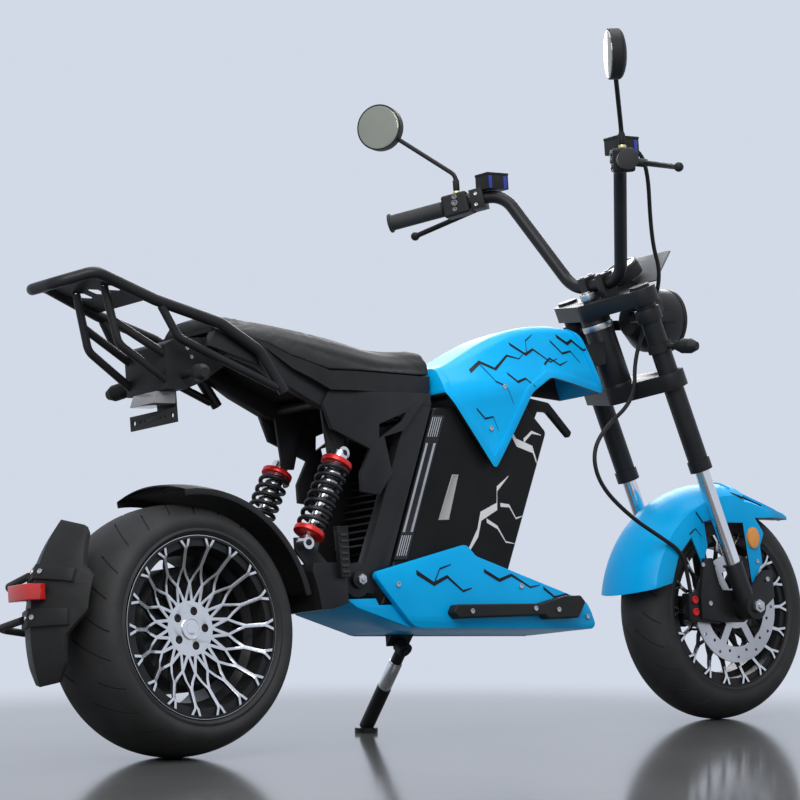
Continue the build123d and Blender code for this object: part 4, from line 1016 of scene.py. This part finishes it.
# Start as (x, z), width, and steps as (x, z, share of the width that is left)
TANK_STREAKS = [
    ((730, 728), 8, [(34, 20, 0.9), (30, -14, 0.9), (46, 30, 0.7), (30, -6, 0.5), (26, 16, 0.3)]),
    ((762, 742), 5, [(18, -34, 0.8), (24, -10, 0.8), (14, -36, 0.5)]),
    ((860, 790), 7, [(34, -22, 0.9), (28, 12, 0.8), (40, -26, 0.6), (26, 8, 0.4)]),
    ((900, 772), 4, [(10, 26, 0.8), (26, 14, 0.5)]),
    ((985, 800), 6, [(26, -26, 0.8), (30, 6, 0.8), (22, -24, 0.5)]),
    ((716, 650), 5, [(20, -20, 0.8), (22, 4, 0.8), (12, -28, 0.4)]),
    ((1010, 812), 8, [(28, -16, 0.9), (18, 8, 0.9), (30, -20, 0.7), (20, 4, 0.3)]),
    ((940, 748), 5, [(24, 14, 0.9), (26, -14, 0.8), (30, 10, 0.4)]),
    ((820, 726), 6, [(20, -18, 0.9), (26, 8, 0.8), (22, -18, 0.4)]),
]
BELLY_STREAKS = [
    ((520, 320), 10, [(44, -24, 0.85), (36, 14, 0.8), (40, -30, 0.7), (24, 6, 0.4)]),
    ((566, 300), 5, [(16, 26, 0.8), (30, 8, 0.5)]),
    ((700, 320), 8, [(40, -20, 0.9), (34, 10, 0.8), (50, -26, 0.6), (26, 4, 0.4)]),
    ((860, 282), 6, [(30, -20, 0.8), (34, 6, 0.7), (24, -16, 0.4)]),
]
BATTERY_STREAKS = [
    ((786, 652), 7, [(30, -40, 2.0), (18, -30, 1.2), (44, -14, 0.9), (14, -44, 0.6), (20, -30, 0.15)]),
    ((855, 586), 9, [(24, 18, 0.7), (26, -6, 0.2)]),
    ((676, 356), 7, [(32, 40, 2.4), (12, 34, 1.1), (46, 20, 0.8), (4, 36, 0.7), (34, 26, 0.15)]),
    ((735, 421), 9, [(28, -14, 0.8), (20, -30, 0.5), (26, -4, 0.2)]),
    ((776, 453), 8, [(24, -2, 0.8), (16, -26, 0.6), (24, 6, 0.2)]),
]
FENDER_STREAKS = [
    ((1478, 480), 6, [(24, -10, 0.9), (22, 6, 0.8), (26, -16, 0.4)]),
    ((1362, 440), 6, [(20, -24, 0.9), (24, 4, 0.8), (16, -26, 0.4)]),
    ((1340, 392), 4, [(18, 12, 0.8), (18, -18, 0.4)]),
]
PAINTED_PANELS = [
    ("tank", TANK_STREAKS, eased_pieces["tank_cover"], streak_black, "black_plastic", *ON_CHASSIS),
    ("belly", BELLY_STREAKS, eased_pieces["belly_panels"], streak_black, "black_plastic", *ON_CHASSIS),
    ("battery", BATTERY_STREAKS, nodes["battery_case"], streak_white, "smoke_plastic", *ON_CHASSIS),
    ("fender", FENDER_STREAKS, eased_pieces["front_fender"], streak_black, "black_plastic", *ON_STEERING),
]
for side, word in SIDES:
    for panel, table, target, finish, slot, place, body in PAINTED_PANELS:
        painted(f"{panel}_streaks_{word}", table, side, target, finish, slot, place, body)
for model in (bolt, nut, oval, disc, dome, sleeve, lid, bands):
    bpy.data.objects.remove(model)


# Stage, light and camera

# The floor is a round patch that fades out, with its middle a little towards the photographer
FLOOR_SHIFT = (0.23, 0.27, 0.0)
FLOOR_RADIUS = 2.6
FADE_FROM, FADE_TO = 1.2, 2.1
FLOOR_DARK, FLOOR_LIGHT = (0.105, 0.107, 0.108), (0.13, 0.132, 0.133)
ROOM_LIGHT = (0.86, 0.88, 0.92, 1)
WALL = (0.65, 0.70, 0.80, 1)


def floor_finish():
    """Polished grey floor."""
    material, tree, shader = new_finish("floor_grey")
    grain = noise(tree, 3.0)
    tone = ramp(tree, grain.outputs["Fac"], FLOOR_DARK, FLOOR_LIGHT)
    tree.links.new(tone.outputs["Color"], shader.inputs["Base Color"])
    shader.inputs["Roughness"].default_value = 0.11
    shader.inputs["Specular IOR Level"].default_value = 0.25
    coords = add(tree, "ShaderNodeTexCoord")
    nearer = add(tree, "ShaderNodeMapping", Location=FLOOR_SHIFT)
    length = add(tree, "ShaderNodeVectorMath", operation="LENGTH")
    tree.links.new(coords.outputs["Object"], nearer.inputs["Vector"])
    tree.links.new(nearer.outputs["Vector"], length.inputs[0])
    fade = add(tree, "ShaderNodeMapRange", interpolation_type="SMOOTHSTEP")
    fade.inputs["From Min"].default_value = FADE_FROM
    fade.inputs["From Max"].default_value = FADE_TO
    fade.inputs["To Min"].default_value = 1.0
    fade.inputs["To Max"].default_value = 0.0
    tree.links.new(length.outputs["Value"], fade.inputs["Value"])
    tree.links.new(fade.outputs["Result"], shader.inputs["Alpha"])
    return material


def stage():
    """Floor, and a world whose wall shows to the camera and in reflections."""
    deselect()
    bpy.ops.mesh.primitive_circle_add(vertices=96, radius=FLOOR_RADIUS, fill_type="NGON", location=(0, 0, 0))
    floor = bpy.context.object
    floor.name = "floor"
    floor.data.materials.append(floor_finish())
    world = bpy.data.worlds.new("studio")
    bpy.context.scene.world = world
    world.use_nodes = True
    tree = world.node_tree
    room = tree.nodes["Background"]
    room.inputs["Color"].default_value = ROOM_LIGHT
    room.inputs["Strength"].default_value = 0.55
    seen = add(tree, "ShaderNodeBackground", Strength=1.0)
    seen.inputs["Color"].default_value = WALL
    path = add(tree, "ShaderNodeLightPath")
    mix = add(tree, "ShaderNodeMixShader")
    first = add(tree, "ShaderNodeMath", operation="MAXIMUM")
    either = add(tree, "ShaderNodeMath", operation="MAXIMUM")
    tree.links.new(path.outputs["Is Camera Ray"], first.inputs[0])
    tree.links.new(path.outputs["Is Glossy Ray"], first.inputs[1])
    tree.links.new(first.outputs["Value"], either.inputs[0])
    tree.links.new(path.outputs["Is Transmission Ray"], either.inputs[1])
    tree.links.new(either.outputs["Value"], mix.inputs["Fac"])
    tree.links.new(room.outputs["Background"], mix.inputs[1])
    tree.links.new(seen.outputs["Background"], mix.inputs[2])
    tree.links.new(mix.outputs["Shader"], tree.nodes["World Output"].inputs["Surface"])


def soft_lamp(name, place, target, size, power):
    light = bpy.data.lights.new(name, "AREA")
    light.shape = "RECTANGLE"
    light.size, light.size_y = size
    light.energy = power
    lamp = bpy.data.objects.new(name, light)
    lamp.location = place
    lamp.rotation_euler = (Vector(target) - Vector(place)).to_track_quat("-Z", "Y").to_euler()
    bpy.context.scene.collection.objects.link(lamp)


def photographer():
    """Camera at the photograph's place, level from side to side."""
    level = math.cos(VIEW_TILT)
    back = Vector((math.sin(VIEW_AZIMUTH) * level, -math.cos(VIEW_AZIMUTH) * level, math.sin(VIEW_TILT)))
    right = Vector((math.cos(VIEW_AZIMUTH), math.sin(VIEW_AZIMUTH), 0))
    up = back.cross(right)
    turn = Matrix((right, up, back)).transposed().to_4x4()
    data = bpy.data.cameras.new("camera")
    data.lens = VIEW_LENS
    data.sensor_width = 36.0
    camera = bpy.data.objects.new("camera", data)
    camera.matrix_world = Matrix.Translation(VIEW_PLACE) @ turn
    bpy.context.scene.collection.objects.link(camera)
    bpy.context.scene.camera = camera


stage()
# Place, target, size and power
soft_lamp("key", (-2.6, -2.6, 3.2), (0, 0, 0.5), (2.6, 2.6), 130)
soft_lamp("top", (0.4, 0.2, 3.6), (0, 0, 0.6), (3.0, 2.0), 72)
soft_lamp("rim", (2.6, 2.4, 2.4), (0, 0, 0.6), (2.0, 2.0), 70)
photographer()
bpy.context.scene.view_settings.view_transform = "Standard"
